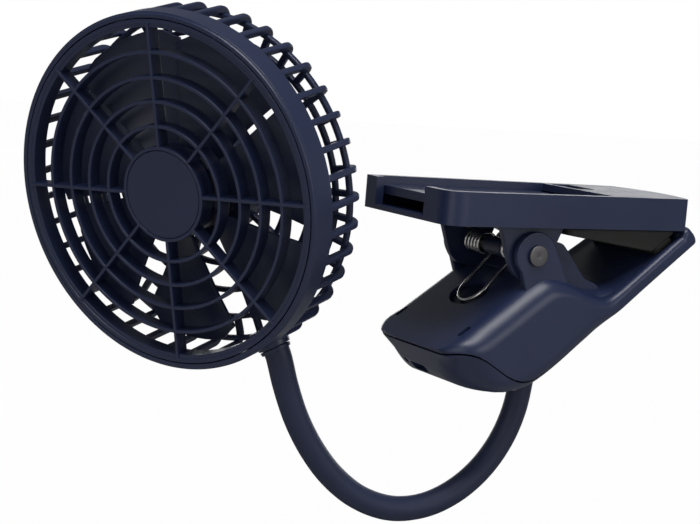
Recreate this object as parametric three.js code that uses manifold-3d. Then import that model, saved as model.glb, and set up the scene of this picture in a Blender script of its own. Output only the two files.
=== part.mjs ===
// A clip-on fan: a caged fan head on a bendable sleeved neck, carried by a sprung clip with a battery inside.
//
// Millimetres, +Z up. The model is laid out on the clip's upper plate: x runs from the plate's handle end to
// its jaw end, y across it, z up from its underside. At the end the whole model is moved so that the origin
// is the centre of the lower jaw pad's gripping face.
import * as THREE from 'three';
import { mergeVertices } from 'three/addons/utils/BufferGeometryUtils.js';
import Module from 'manifold-3d';

const wasm = await Module();
wasm.setup();

// ---------------------------------------------------------------- clearances
const seatGap = 0.3; // between two pieces that rest on each other
const runGap = 0.6; // between a piece and one that turns past it
const joinLap = 0.5; // how deep one feature of a piece reaches into the next

// ---------------------------------------------------------------- clip: pin and angle
const pinFromHandle = 38.1; // hinge axis, from the plate's handle end
const pinBelowPlate = 9.4; // hinge axis, below the plate's underside
const bodyAngle = 35.5; // degrees between the plate and the battery body
const pinRadius = 2;
const pinHeadRadius = 3.5;
const pinHeadThickness = 1;
const pinTail = 1.6; // how far the pin stands out past the far ear, inside its cap
const pinCapSkin = 1;

// ---------------------------------------------------------------- clip: upper plate
const plateLength = 100;
const plateBow = 4; // how far the jaw edge bows out past the length
const bodyHalf = 27.5; // half width of the battery body under the plate
const plateProud = 0.5; // how far the plate's handle end stands out past the body's side
const plateHandleHalf = bodyHalf + plateProud;
const plateTaper = 5.7; // half width lost from the handle end to the jaw end
const plateJawHalf = plateHandleHalf - plateTaper;
const plateHeight = 11;
const plateWall = 3;
const plateFloor = 1.5;
const plateRoof = 2.5;
const handleCorner = 8;
const jawCorner = 2;
const notchNear = 12; // end-wall notch, from the middle towards the pin's head
const notchFar = 20;
const thumbRecess = { from: 70, to: 78, near: 2, far: 20, depth: 1.6 };

const earThickness = 2.4; // of the plate's and the body's ears
const bodyEarInset = 6.5; // from the body's side in to its ear's inner face
const bodyEarInner = bodyHalf - bodyEarInset;
const earInner = bodyEarInner - runGap - earThickness; // plate ears: inner face, from the middle
const earRadius = 9.2;
const earRootHandle = 24.8; // where the ear meets the plate, from the handle end
const earRootJaw = 50.2;

// ---------------------------------------------------------------- fold-out panel in the plate
const panelHingeFromHandle = 66;
const panelThickness = 3;
const panelBelowRim = 2.8;
const panelPinRadius = 1.2;
const panelPinDepth = 2.2; // how far the pin's ends reach into the side walls
const panelPinGap = 0.1; // round the pin, beside its seat gap
const panelPullGroove = 1.2; // width of the groove
const panelPullWidth = 26; // groove near the panel's free edge
const panelPullDepth = 0.8;

// ---------------------------------------------------------------- jaw pads
const padFromHandle = 51;
const padToHandle = 95.5;
const padInset = 3; // pad edge, in from the plate's edge
const padThin = 2.3; // thickness at the throat end
const padDeepest = 87.5; // where the wedge is thickest, from the handle end
const lowerPadFrom = 42.5; // along the arm, from the pin
const lowerPadTo = 51.5;
const lowerPadThickness = 2.3;
const lowerPadHalf = 19;

// ---------------------------------------------------------------- battery body, measured from the pin
const bodyTop = -7; // top face, below the pin
const bodyHandleEnd = -43.7;
const armTipHalf = 21.5;
const armTip = 57;
const armTop = -30.2; // arm's gripping side
const armBottom = -34.2;
const bodyBottom = -37;
const saddleStart = -3.6;
const bodyWall = 2.2;
const sideRound = 7; // rounding of the long top edges
const bottomRound = 6;
const bodyBow = 2; // how far the handle end bows out in the middle
const bodyCorner = 6;
const cavityJawEnd = 9.5;
const armRoot = 14; // where the thin gripping arm begins
const recess = { centre: -17.5, halfLength: 6.5, halfWidth: 9, depth: 1.5 };
const ventSlot = { centre: -34.3, offset: 20.4, length: 5, width: 2, depth: 1.2 };

const bodyEarRadius = 7.8;

// ---------------------------------------------------------------- inside the body
const battery = { from: -34.5, length: 30, halfWidth: 15, thickness: 8 };
const board = { from: -38.5, length: 27, halfWidth: 13, thickness: 1.2, top: -21.4 };
const boardPostRadius = 1.8;
const usb = { width: 9, height: 3.2, length: 7, wall: 0.4, tongue: 0.7, offset: 3 };
const led = { radius: 0.9, offset: 10.5, rise: 1.6, length: 4 };
const screwRadius = 1.2;
const screwHeadRadius = 2.4;
const screwHeadHeight = 1.3;
const screwBite = 9; // thread length in the boss
const screwPlaces = [[-27, -20], [-27, 20], [3.5, -20.5], [3.5, 20.5]];
const bossRadius = 3;
const screwSeat = bodyBottom + 3.4; // under the screw heads
const pillarTop = bodyBottom + 5; // where the cover's pillars meet the shell's bosses

// ---------------------------------------------------------------- double torsion spring
const wireRadius = 0.6;
const coilRadius = 3.5;
const coilPitch = 2;
const coilTurns = 5;
const coilToEar = 1.6; // from the end of the full turns to the plate's ear
const coilInnerEnd = earInner - coilToEar - coilTurns * coilPitch; // from the middle
const coilSteps = 8;
const wireSides = 5;
const springLegEnd = 25; // where an outer leg ends under the plate, from the handle end
const springLoopEnd = -19; // where the middle loop ends on the body, from the pin

// ---------------------------------------------------------------- neck
const neckRadius = 4.25;
const neckSides = 10;
const neckLinks = 6;
const cupGap = 0.5; // between a link's ball and the next link's cup
const stepsPerLink = 6;
const neckRoute = [
  [54, -28.4], [54, -36], [54, -44], [52.8, -52], [50.6, -66.1], [46.2, -76.9], [39.1, -86.4], [29.6, -93.8],
  [18, -98.4], [5.1, -99], [-8, -94.7], [-18.9, -86.9], [-27.4, -77.3], [-33.9, -66.9], [-38.6, -56.2],
]; // x and z of points on its centre line, as it is bent in the photograph
const ferruleWall = 1.6;
const ferruleLength = 8;
const ferruleFlange = 7.6;
const wireHoleRadius = 1.4;
const flangeThickness = 1.2;

// ---------------------------------------------------------------- fan head
const headFront = new THREE.Vector3(-82.6, 7.8, 3.3); // centre of the front rim
const headYaw = 30.45; // degrees the fan's axis is turned from +X to +Y
const headTilt = 11.47; // degrees its back is tipped up
const headRoll = 2.6; // degrees the guard's spokes are turned
const bandRadius = 57;
const bandWall = 2;
const bandDepth = 9;
const cageDepth = 28;
const ribCount = 40;
const ribWidth = 2.2;
const ribThickness = 2;
const ribCorner = 8;
const innerRibCount = 10;
const ribReach = 11; // from the band's outside in to the ring where the other ribs stop
const ribMeetRadius = bandRadius - ribReach;
const hoopPitch = 9; // between that ring and the smaller ones
const hoopRadii = [1, 2].map((step) => ribMeetRadius - step * hoopPitch);
const hoopSection = 1.6;

const rimWidth = 2.6; // guard's outer rim
const rimDepth = 6;
const ringRadii = [21.5, 29.2, 36.7, 44.5];
const ringWidth = 1.1;
const guardDepth = 5;
const guardSides = 24;
const spokeCount = 8;
const spokeInset = 0.2; // spokes lie this far inside the rings' faces
const hubRadius = 15.2;
const hubWall = 1;
const capThickness = 1.5;

const bladeCount = 7;
const bladeTipGap = 5; // between the blades' tips and the band's inside
const bladeTipRadius = bandRadius - bandWall - bladeTipGap;
const rotorHubRadius = 14.5;
const rotorFront = 8;
const rotorDepth = 12;
const rotorWall = 1.6;
const bladeChord = 44; // degrees round the axis
const bladeTurn = 81; // degrees, where one gap between blades lies
const bladeThickness = 1.4;
const bladeRise = 9.5; // along the axis, from leading to trailing edge
const bladeMiddle = 12.2; // behind the front rim
const bladeTwist = 0.35; // share of the rise lost at the tip
const shaftRadius = 1;
const bearingRadius = 2.6;

const cupRadius = 19; // motor cup in the middle of the cage
const cupWall = 1.8;
const cupFloor = 1.8;
const cupDepth = 8;
const motorRadius = 11.2;
const motorHeight = 7.5;
const motorFlangeThickness = 1.6;
const motorBoardThickness = 1.2;
const coverThickness = 2;
const buttonRadius = 6;
const buttonRise = 1.6;
const buttonLip = 1.2;
const cageScrews = { radius: 13.4, count: 3, screwRadius: 1, headRadius: 1.9, headHeight: 1.1 };

const socketAngle = 207; // where the neck joins the cage, degrees from the top towards the plate's far side
const socketDepth = 20; // behind the front rim


// ---------------------------------------------------------------- materials
const finishes = {
  navy: { color: 0x1d2a4a, roughness: 0.55, metalness: 0 },
  guard: { color: 0x1f2c4c, roughness: 0.5, metalness: 0 },
  sleeve: { color: 0x202d4f, roughness: 0.75, metalness: 0 },
  rubber: { color: 0x24261f, roughness: 0.85, metalness: 0 },
  steel: { color: 0xb9bcc0, roughness: 0.25, metalness: 1 },
  brass: { color: 0xb08d57, roughness: 0.35, metalness: 1 },
  board: { color: 0x1d5a36, roughness: 0.6, metalness: 0 },
  cell: { color: 0x9aa3ad, roughness: 0.4, metalness: 0.3 },
  lens: { color: 0xdfe6ea, roughness: 0.3, metalness: 0 },
};

// ---------------------------------------------------------------- solids from geometry
function toSolid(geometry) {
  const bare = geometry.clone();
  bare.deleteAttribute('normal');
  bare.deleteAttribute('uv');
  const merged = mergeVertices(bare, 1e-4);
  const corners = merged.index.array;
  const kept = [];
  for (let i = 0; i < corners.length; i += 3) {
    const [a, b, c] = [corners[i], corners[i + 1], corners[i + 2]];
    if (a !== b && b !== c && c !== a) kept.push(a, b, c);
  }
  const vertProperties = new Float32Array(merged.attributes.position.array);
  return new wasm.Manifold(new wasm.Mesh({ numProp: 3, vertProperties, triVerts: new Uint32Array(kept) }));
}

function toGeometry(solid) {
  const mesh = solid.getMesh();
  const geometry = new THREE.BufferGeometry();
  geometry.setAttribute('position', new THREE.BufferAttribute(new Float32Array(mesh.vertProperties), 3));
  geometry.setIndex(new THREE.BufferAttribute(new Uint32Array(mesh.triVerts), 1));
  geometry.computeVertexNormals();
  return geometry;
}

const join = (first, ...others) => others.reduce((all, other) => all.add(other), first);
const cut = (block, ...tools) => tools.reduce((left, tool) => left.subtract(tool), block);
const common = (first, ...others) => others.reduce((all, other) => all.intersect(other), first);
const radians = THREE.MathUtils.degToRad;

function shapeOf(points) {
  return new THREE.Shape(points.map(([x, y]) => new THREE.Vector2(x, y)));
}

function roundedBox(halfWidth, halfHeight, radius) {
  const shape = new THREE.Shape();
  shape.moveTo(-halfWidth + radius, -halfHeight);
  shape.absarc(halfWidth - radius, -halfHeight + radius, radius, -Math.PI / 2, 0, false);
  shape.absarc(halfWidth - radius, halfHeight - radius, radius, 0, Math.PI / 2, false);
  shape.absarc(-halfWidth + radius, halfHeight - radius, radius, Math.PI / 2, Math.PI, false);
  shape.absarc(-halfWidth + radius, -halfHeight + radius, radius, Math.PI, 1.5 * Math.PI, false);
  return shape;
}

const axisX = new THREE.Vector3(1, 0, 0);
const axisY = new THREE.Vector3(0, 1, 0);
const axisZ = new THREE.Vector3(0, 0, 1);

// An outline drawn in x and z, drawn out along y.
function alongY(shape, from, to, curveSegments = 6) {
  const geometry = new THREE.ExtrudeGeometry(shape, { depth: to - from, bevelEnabled: false, curveSegments });
  geometry.applyMatrix4(new THREE.Matrix4().makeBasis(axisX, axisZ, axisY.clone().negate()));
  return toSolid(geometry.translate(0, to, 0));
}

// An outline drawn in x and y, drawn out along z.
function alongZ(shape, from, to, curveSegments = 6) {
  const geometry = new THREE.ExtrudeGeometry(shape, { depth: to - from, bevelEnabled: false, curveSegments });
  return toSolid(geometry.translate(0, 0, from));
}

// An outline drawn in y and z, drawn out along x.
function alongX(shape, from, to, curveSegments = 6) {
  const geometry = new THREE.ExtrudeGeometry(shape, { depth: to - from, bevelEnabled: false, curveSegments });
  geometry.applyMatrix4(new THREE.Matrix4().makeBasis(axisY, axisZ, axisX));
  return toSolid(geometry.translate(from, 0, 0));
}

function box(from, to) {
  const size = to.map((high, i) => high - from[i]);
  const middle = to.map((high, i) => (high + from[i]) / 2);
  return toSolid(new THREE.BoxGeometry(...size).translate(...middle));
}

function rodY(radius, from, to, x = 0, z = 0, segments = 16) {
  const geometry = new THREE.CylinderGeometry(radius, radius, to - from, segments);
  return toSolid(geometry.translate(x, (from + to) / 2, z));
}

function rodZ(radius, from, to, x = 0, y = 0, segments = 12) {
  const geometry = new THREE.CylinderGeometry(radius, radius, to - from, segments).rotateX(Math.PI / 2);
  return toSolid(geometry.translate(x, y, (from + to) / 2));
}

// A closed profile of [radius, height] points, turned about z.
function turned(points, segments = 48) {
  const profile = points.map(([radius, height]) => new THREE.Vector2(radius, height));
  return toSolid(new THREE.LatheGeometry(profile, segments).rotateX(Math.PI / 2));
}

// A ring of square section about z.
function ring(inner, outer, from, to, segments = ribCount) {
  const flat = turned([[inner, from], [outer, from], [outer, to], [inner, to], [inner, from]], segments);
  return moved(flat, new THREE.Matrix4().makeRotationZ(Math.PI / segments));
}

// A disc or plug about z.
function plug(radius, from, to, segments = 36) {
  return turned([[0, from], [radius, from], [radius, to], [0, to]], segments);
}

function moved(solid, matrix) {
  const geometry = toGeometry(solid);
  return toSolid(geometry.applyMatrix4(matrix));
}

// ---------------------------------------------------------------- scene graph
const fan = new THREE.Group();
const plateFrame = new THREE.Group();
const bodyFrame = new THREE.Group();
const headFrame = new THREE.Group();
fan.add(plateFrame);
plateFrame.add(bodyFrame, headFrame);
bodyFrame.position.set(pinFromHandle, 0, -pinBelowPlate);
bodyFrame.rotation.y = -radians(bodyAngle);

function addPiece(group, name, solid, finish) {
  const material = new THREE.MeshStandardMaterial(finishes[finish]);
  const mesh = new THREE.Mesh(toGeometry(solid), material);
  mesh.name = name;
  group.add(mesh);
}

// A place measured on the plate, turned into the body's own axes.
function onBody(x, z) {
  const place = new THREE.Vector3(x - pinFromHandle, 0, z + pinBelowPlate);
  place.applyAxisAngle(axisY, radians(bodyAngle));
  return [place.x, place.z];
}

// ---------------------------------------------------------------- upper plate
function plateHalfAt(x) {
  return THREE.MathUtils.lerp(plateHandleHalf, plateJawHalf, x / plateLength);
}

// The plate's outline, drawn in from its edge by the given amount.
function plateOutline(inset, handleEnd, jawEnd, bow, corner) {
  const half = (x) => plateHalfAt(x) - inset;
  const tip = Math.max(jawCorner - inset, 0.5);
  const shape = new THREE.Shape();
  shape.moveTo(handleEnd, -half(handleEnd) + corner);
  shape.quadraticCurveTo(handleEnd, -half(handleEnd), handleEnd + corner, -half(handleEnd + corner));
  shape.lineTo(jawEnd - tip, -half(jawEnd - tip));
  shape.quadraticCurveTo(jawEnd, -half(jawEnd), jawEnd, -half(jawEnd) + tip);
  shape.quadraticCurveTo(jawEnd + 2 * bow, 0, jawEnd, half(jawEnd) - tip);
  shape.quadraticCurveTo(jawEnd, half(jawEnd), jawEnd - tip, half(jawEnd - tip));
  shape.lineTo(handleEnd + corner, half(handleEnd + corner));
  shape.quadraticCurveTo(handleEnd, half(handleEnd), handleEnd, half(handleEnd) - corner);
  return shape;
}

function plateEarOutline() {
  const shape = new THREE.Shape();
  shape.moveTo(earRootHandle, joinLap);
  shape.absarc(pinFromHandle, -pinBelowPlate, earRadius, radians(205), radians(375), false);
  shape.lineTo(earRootJaw, joinLap);
  return shape;
}

const panelTop = plateHeight - panelBelowRim;
const panelAxisZ = panelTop - panelThickness / 2;
const pocketEnd = panelHingeFromHandle + panelThickness / 2 + runGap;

function leverPlate() {
  const block = alongZ(plateOutline(0, 0, plateLength, plateBow, handleCorner), 0, plateHeight);
  const pocketShape = plateOutline(plateWall, plateWall, pocketEnd, 0, handleCorner - plateWall);
  const pocket = alongZ(pocketShape, plateFloor, plateHeight + 1);
  const hollowEnd = plateLength - plateWall;
  const hollowShape = plateOutline(plateWall, pocketEnd - 1, hollowEnd, plateBow, 1);
  const hollow = alongZ(hollowShape, plateFloor, plateHeight - plateRoof);
  const notch = box([-1, -notchNear, plateFloor], [plateWall + 1, notchFar, plateHeight + 1]);
  const recessFloor = plateHeight - thumbRecess.depth;
  const thumb = box(
    [thumbRecess.from, thumbRecess.near, recessFloor],
    [thumbRecess.to, thumbRecess.far, plateHeight + 1],
  );
  const reach = plateHalfAt(panelHingeFromHandle) - plateWall + panelPinDepth + seatGap;
  const pinHole = rodY(panelPinRadius + seatGap, -reach, reach, panelHingeFromHandle, panelAxisZ, 16);
  let plate = cut(block, pocket, hollow, notch, thumb, pinHole);
  for (const side of [-1, 1]) {
    const faces = [side * earInner, side * (earInner + earThickness)].sort((a, b) => a - b);
    const hole = rodY(pinRadius + seatGap, faces[0] - 1, faces[1] + 1, pinFromHandle, -pinBelowPlate);
    plate = join(plate, cut(alongY(plateEarOutline(), ...faces), hole));
  }
  return plate;
}

function panelHalfAt(x) {
  return plateHalfAt(x) - plateWall - runGap;
}

function foldOutPanel() {
  const free = plateWall + runGap;
  const corner = handleCorner - plateWall;
  const shape = plateOutline(plateWall + runGap, free, panelHingeFromHandle, 0, corner);
  const slab = alongZ(shape, panelTop - panelThickness, panelTop);
  const half = panelHalfAt(panelHingeFromHandle);
  const barrel = rodY(panelThickness / 2, -half, half, panelHingeFromHandle, panelAxisZ, 16);
  const boreRadius = panelPinRadius + seatGap - panelPinGap;
  const bore = rodY(boreRadius, -half - 1, half + 1, panelHingeFromHandle, panelAxisZ, 16);
  const grooveFrom = free + panelPullWidth / 4;
  const groove = box(
    [grooveFrom, -panelPullWidth / 2, panelTop - panelPullDepth],
    [grooveFrom + panelPullGroove, panelPullWidth / 2, panelTop + 1],
  );
  return cut(join(slab, barrel), bore, groove);
}

function panelPin() {
  const reach = plateHalfAt(panelHingeFromHandle) - plateWall + panelPinDepth;
  return rodY(panelPinRadius - panelPinGap, -reach, reach, panelHingeFromHandle, panelAxisZ, 16);
}

// ---------------------------------------------------------------- jaw pads
const lowerPadFace = armTop + seatGap + lowerPadThickness;
const bodyAlong = new THREE.Vector3(1, 0, 0).applyAxisAngle(axisY, -radians(bodyAngle));
const bodyUp = new THREE.Vector3(0, 0, 1).applyAxisAngle(axisY, -radians(bodyAngle));

// A place given along and above the body, as x and z on the plate.
function onPlate(along, above) {
  const x = pinFromHandle + along * bodyAlong.x + above * bodyUp.x;
  const z = -pinBelowPlate + along * bodyAlong.z + above * bodyUp.z;
  return [x, z];
}

// Height of the closed jaw's meeting face over a place on the plate.
function gripHeight(x) {
  const above = lowerPadFace + seatGap;
  const [startX, startZ] = onPlate(0, above);
  return startZ + (x - startX) * Math.tan(radians(bodyAngle));
}

function upperPad() {
  const gripEnd = Math.min(gripHeight(padToHandle), -2 * seatGap);
  const profile = shapeOf([
    [padFromHandle, -seatGap], [padFromHandle, -seatGap - padThin],
    [padDeepest, gripHeight(padDeepest)], [padToHandle, gripEnd], [padToHandle, -seatGap],
  ]);
  const block = alongY(profile, -plateHandleHalf, plateHandleHalf);
  const outline = plateOutline(padInset, padFromHandle, padToHandle + 1, 0, 4);
  return common(block, alongZ(outline, -plateHandleHalf, 0));
}

function lowerPad() {
  const half = (lowerPadTo - lowerPadFrom) / 2;
  const outline = roundedBox(half, lowerPadHalf, 2);
  const pad = alongZ(outline, armTop + seatGap, lowerPadFace);
  return moved(pad, new THREE.Matrix4().makeTranslation(lowerPadFrom + half, 0, 0));
}

// ---------------------------------------------------------------- battery body
// Side view of the whole body, from the handle end's top edge round to the underside.
function bodyProfile() {
  return [
    [bodyHandleEnd, bodyTop - 1.2], [saddleStart - 30, bodyTop], [saddleStart, bodyTop], [1.8, bodyTop - 2.9],
    [5.9, bodyTop - 6], [8.4, bodyTop - 9.6], [11.9, bodyTop - 16.6], [armRoot, armTop + 3.4],
    [17.5, armTop + 0.6], [20, armTop], [armTip - 5.4, armTop], [armTip - 4.2, armTop + 1.9],
    [armTip - 2.8, armTop + 2.6], [armTip - 1, armTop + 1], [armTip, armTop - 1],
    [armTip - 0.3, armBottom + 0.5], [armTip - 2, armBottom - 1], [armRoot, armBottom - 1.2],
    [2, bodyBottom + 0.5], [-20, bodyBottom],
    [-30, bodyBottom + 2.5], [-38, bodyBottom + 8.5], [bodyHandleEnd + 1.2, bodyBottom + 15],
    [bodyHandleEnd, bodyBottom + 22],
  ];
}

// Side view of the split between the two shells, above it the upper shell.
function seamLine(drop) {
  return [
    [bodyHandleEnd - 2, -8.5 - drop], [bodyHandleEnd, -8.5 - drop], [-36.4 - drop, -13.3 - drop],
    [-34 - drop, -17.9], [-31.9 - drop, -23.2], [-30.1 - drop, -27.4], [-27.5 - drop / 2, -31 - drop],
    [-24.6, -33.1 - drop], [-19.3, armBottom - drop], [armTip + 2, armBottom - drop],
  ];
}

function bodyPlan(inset) {
  const tipHalf = armTipHalf - inset;
  const half = bodyHalf - inset;
  const end = bodyHandleEnd + inset;
  const corner = bodyCorner;
  const shape = new THREE.Shape();
  shape.moveTo(end + bodyBow, -half + corner);
  shape.quadraticCurveTo(end + bodyBow, -half, end + bodyBow + corner, -half);
  shape.lineTo(cavityJawEnd, -half + 1);
  shape.lineTo(armTip - 3, -tipHalf);
  shape.quadraticCurveTo(armTip, -tipHalf, armTip, -tipHalf + 4);
  shape.quadraticCurveTo(armTip + 1.5, 0, armTip, tipHalf - 4);
  shape.quadraticCurveTo(armTip, tipHalf, armTip - 3, tipHalf);
  shape.lineTo(cavityJawEnd, half - 1);
  shape.lineTo(end + bodyBow + corner, half);
  shape.quadraticCurveTo(end + bodyBow, half, end + bodyBow, half - corner);
  shape.quadraticCurveTo(end - bodyBow, 0, end + bodyBow, -half + corner);
  return shape;
}

function bodySection(inset) {
  const half = bodyHalf - inset;
  const top = bodyTop - inset;
  const bottom = bodyBottom + inset;
  const topRound = sideRound - inset;
  const lowRound = bottomRound - inset;
  const shape = new THREE.Shape();
  shape.moveTo(-half + lowRound, bottom);
  shape.absarc(half - lowRound, bottom + lowRound, lowRound, -Math.PI / 2, 0, false);
  shape.absarc(half - topRound, top - topRound, topRound, 0, Math.PI / 2, false);
  shape.absarc(-half + topRound, top - topRound, topRound, Math.PI / 2, Math.PI, false);
  shape.absarc(-half + lowRound, bottom + lowRound, lowRound, Math.PI, 1.5 * Math.PI, false);
  return shape;
}

// The outline of a closed run of points moved inwards by the wall, corner by corner.
function insetProfile(points, wall) {
  const corners = points.map(([x, y]) => new THREE.Vector2(x, y));
  return corners.map((corner, i) => {
    const before = corner.clone().sub(corners.at(i - 1)).normalize();
    const after = corners[(i + 1) % corners.length].clone().sub(corner).normalize();
    const normal = new THREE.Vector2(before.y, -before.x).add(new THREE.Vector2(after.y, -after.x));
    const scale = (2 * wall) / normal.lengthSq();
    return [corner.x + normal.x * scale, corner.y + normal.y * scale];
  });
}

function bodyBlank(inset) {
  const thick = bodyProfile().filter(([x]) => x <= armRoot);
  const points = inset ? insetProfile(thick, inset) : bodyProfile();
  const side = alongY(shapeOf(points), -bodyHalf - 1, bodyHalf + 1);
  const plan = alongZ(bodyPlan(inset), bodyBottom - 2, bodyTop + 2, 3);
  const section = alongX(bodySection(inset), bodyHandleEnd - 3, armTip + 3, 3);
  return common(side, plan, section);
}

function bodyCavity() {
  const limit = box([bodyHandleEnd, -bodyHalf, bodyBottom], [cavityJawEnd, bodyHalf, bodyTop]);
  const half = bodyHalf - 1.5 * bodyWall;
  const floor = box([0, -half, armBottom - seatGap], [cavityJawEnd, half, armBottom + bodyWall]);
  return join(common(bodyBlank(bodyWall), limit), floor);
}

function aboveSeam(drop, sign) {
  const far = sign * 60;
  const line = seamLine(drop);
  const shape = shapeOf([...line, [armTip + 2, far], [bodyHandleEnd - 2, far]]);
  return alongY(shape, -bodyHalf - 2, bodyHalf + 2);
}

const slotRadius = earRadius + runGap;
const slotInner = earInner - runGap;
const slotOuter = earInner + earThickness + runGap;
const cavityTop = bodyTop - bodyWall;

function bodyEar(side) {
  const faces = [side * bodyEarInner, side * (bodyEarInner + earThickness)].sort((a, b) => a - b);
  const shape = new THREE.Shape();
  shape.moveTo(-bodyEarRadius - 1.5, bodyTop - 3);
  shape.lineTo(bodyEarRadius + 1, bodyTop - 10);
  shape.absarc(0, 0, bodyEarRadius, 0, Math.PI, false);
  const hole = rodY(pinRadius + seatGap, faces[0] - 1, faces[1] + 1);
  return cut(alongY(shape, ...faces, 8), hole);
}

function upperShell() {
  const blank = bodyBlank(0);
  const above = common(blank, aboveSeam(0, 1));
  const room = join(above, bodyBlank(bodyWall + seatGap));
  let shell = cut(above, bodyCavity());
  const bossTop = cavityTop + joinLap;
  const bossFoot = pillarTop + seatGap;
  const bosses = screwPlaces.map(([x, y]) => rodZ(bossRadius, bossFoot, bossTop, x, y));
  const slotBosses = [-1, 1].map((side) => {
    const wide = [side * (slotInner - 1.6), side * (bodyHalf - bodyWall + joinLap)].sort((a, b) => a - b);
    const foot = -slotRadius - bodyWall;
    return box([-slotRadius, wide[0], foot], [slotRadius, wide[1], bossTop]);
  });
  shell = join(shell, ...[...bosses, ...slotBosses].map((boss) => common(boss, room)));
  for (const side of [-1, 1]) {
    const faces = [side * slotInner, side * slotOuter].sort((a, b) => a - b);
    shell = cut(shell, rodY(slotRadius, ...faces, 0, 0, 24));
    shell = join(shell, bodyEar(side));
    const slot = roundedBox(ventSlot.length / 2, ventSlot.width / 2, ventSlot.width / 2 - 0.05);
    const vent = alongZ(slot, bodyTop - ventSlot.depth, bodyTop + 1, 3);
    const place = new THREE.Matrix4().makeTranslation(ventSlot.centre, side * ventSlot.offset, 0);
    shell = cut(shell, moved(vent, place));
  }
  const oval = new THREE.Shape();
  oval.absellipse(recess.centre, 0, recess.halfLength, recess.halfWidth, 0, 2 * Math.PI);
  shell = cut(shell, alongZ(oval, bodyTop - recess.depth, bodyTop + 1, 8));
  const pilots = screwPlaces.map(([x, y]) => {
    return rodZ(screwRadius + seatGap, bossFoot - 1, bossFoot + screwBite + 1, x, y, 16);
  });
  return cut(shell, ...pilots);
}

// The neck's line at the clip end, a straight drop below the plate.
const [neckTopX, neckTopZ] = neckRoute[0];
const neckMouth = onBody(neckTopX, neckTopZ);

// A solid turned about the neck's line at the clip, given in heights on the plate.
function onNeckAxis(solid) {
  const place = new THREE.Matrix4().makeRotationY(radians(bodyAngle));
  place.setPosition(neckMouth[0], 0, neckMouth[1]);
  return moved(solid, place);
}

const neckBossTop = -6.4; // from where the neck's route begins
const neckHole = neckRadius + runGap;
const ferruleOuter = neckRadius + seatGap + ferruleWall;

function bottomCover() {
  const blank = bodyBlank(0);
  let cover = common(cut(blank, bodyCavity()), aboveSeam(seatGap, -1));
  const neckBoss = onNeckAxis(rodZ(ferruleFlange, -12, neckBossTop));
  const posts = [-1, 1].flatMap((side) => [0.2, 0.8].map((share) => {
    const x = board.from + share * board.length;
    const y = side * (board.halfWidth - boardPostRadius);
    return rodZ(boardPostRadius, bodyBottom, board.top - board.thickness - seatGap, x, y, 16);
  }));
  const pillars = screwPlaces.map(([x, y]) => rodZ(bossRadius, bodyBottom - 1, pillarTop, x, y));
  cover = join(cover, ...[neckBoss, ...posts, ...pillars].map((part) => common(part, blank)));
  const neckBore = onNeckAxis(rodZ(neckHole, -30, 10));
  const port = portHole();
  const lamp = ledHole();
  const holes = screwPlaces.flatMap(([x, y]) => [
    rodZ(screwRadius + seatGap, bodyBottom - 1, pillarTop + 1, x, y, 16),
    rodZ(screwHeadRadius + seatGap, bodyBottom - 5, screwSeat, x, y, 16),
  ]);
  return cut(cover, neckBore, port, lamp, ...holes);
}

function coverScrew([x, y]) {
  const top = pillarTop + seatGap + screwBite;
  return turnedAt([
    [0, screwSeat - seatGap - screwHeadHeight], [screwHeadRadius, screwSeat - seatGap - screwHeadHeight],
    [screwHeadRadius, screwSeat - seatGap], [screwRadius, screwSeat - seatGap], [screwRadius, top], [0, top],
  ], x, y);
}

function turnedAt(points, x, y, segments = 16) {
  return moved(turned(points, segments), new THREE.Matrix4().makeTranslation(x, y, 0));
}

const usbMiddle = board.top + usb.height / 2 + seatGap;
const usbMouth = bodyHandleEnd + 0.8;

function portHole() {
  const shape = roundedBox(usb.width / 2 + seatGap, usb.height / 2 + seatGap, 1.4);
  const hole = alongX(shape, bodyHandleEnd - 3, bodyHandleEnd + 6, 4);
  return moved(hole, new THREE.Matrix4().makeTranslation(0, usb.offset, usbMiddle));
}

function usbSocket() {
  const outer = roundedBox(usb.width / 2, usb.height / 2, 1.1);
  const inner = roundedBox(usb.width / 2 - usb.wall, usb.height / 2 - usb.wall, 0.7);
  const shell = alongX(outer, usbMouth, usbMouth + usb.length, 4);
  const mouth = alongX(inner, usbMouth - 1, usbMouth + usb.length - 1, 4);
  const tongueHalf = usb.tongue / 2;
  const tongueEnd = usbMouth + usb.length - 0.5;
  const tongue = box([usbMouth + 1, -usb.width / 4, -tongueHalf], [tongueEnd, usb.width / 4, tongueHalf]);
  const socket = join(cut(shell, mouth), tongue);
  return moved(socket, new THREE.Matrix4().makeTranslation(0, usb.offset, usbMiddle));
}

function ledHole() {
  const hole = rodZ(led.radius + seatGap, -3, 6, 0, 0, 12);
  return moved(hole, ledPlace());
}

// The lamp window's line: it looks out of the cover's handle end.
function ledPlace() {
  const place = new THREE.Matrix4().makeRotationY(Math.PI / 2);
  return place.setPosition(bodyHandleEnd, led.offset, usbMiddle + led.rise);
}

function ledWindow() {
  return moved(rodZ(led.radius, 1, 1 + led.length, 0, 0, 12), ledPlace());
}

function batteryCell() {
  const top = cavityTop - seatGap;
  const section = roundedBox(battery.halfWidth, battery.thickness / 2, 2.5);
  const cell = alongX(section, battery.from, battery.from + battery.length);
  return moved(cell, new THREE.Matrix4().makeTranslation(0, 0, top - battery.thickness / 2));
}

function circuitBoard() {
  const from = Math.max(board.from, usbMouth + 4);
  const blank = box(
    [from, -board.halfWidth, board.top - board.thickness],
    [board.from + board.length, board.halfWidth, board.top],
  );
  const chip = box([-24, -9, board.top - joinLap], [-19, -4, board.top + 0.9]);
  return join(blank, chip);
}

// ---------------------------------------------------------------- hinge pin and spring
const bodyEarOuter = bodyEarInner + earThickness;

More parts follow.
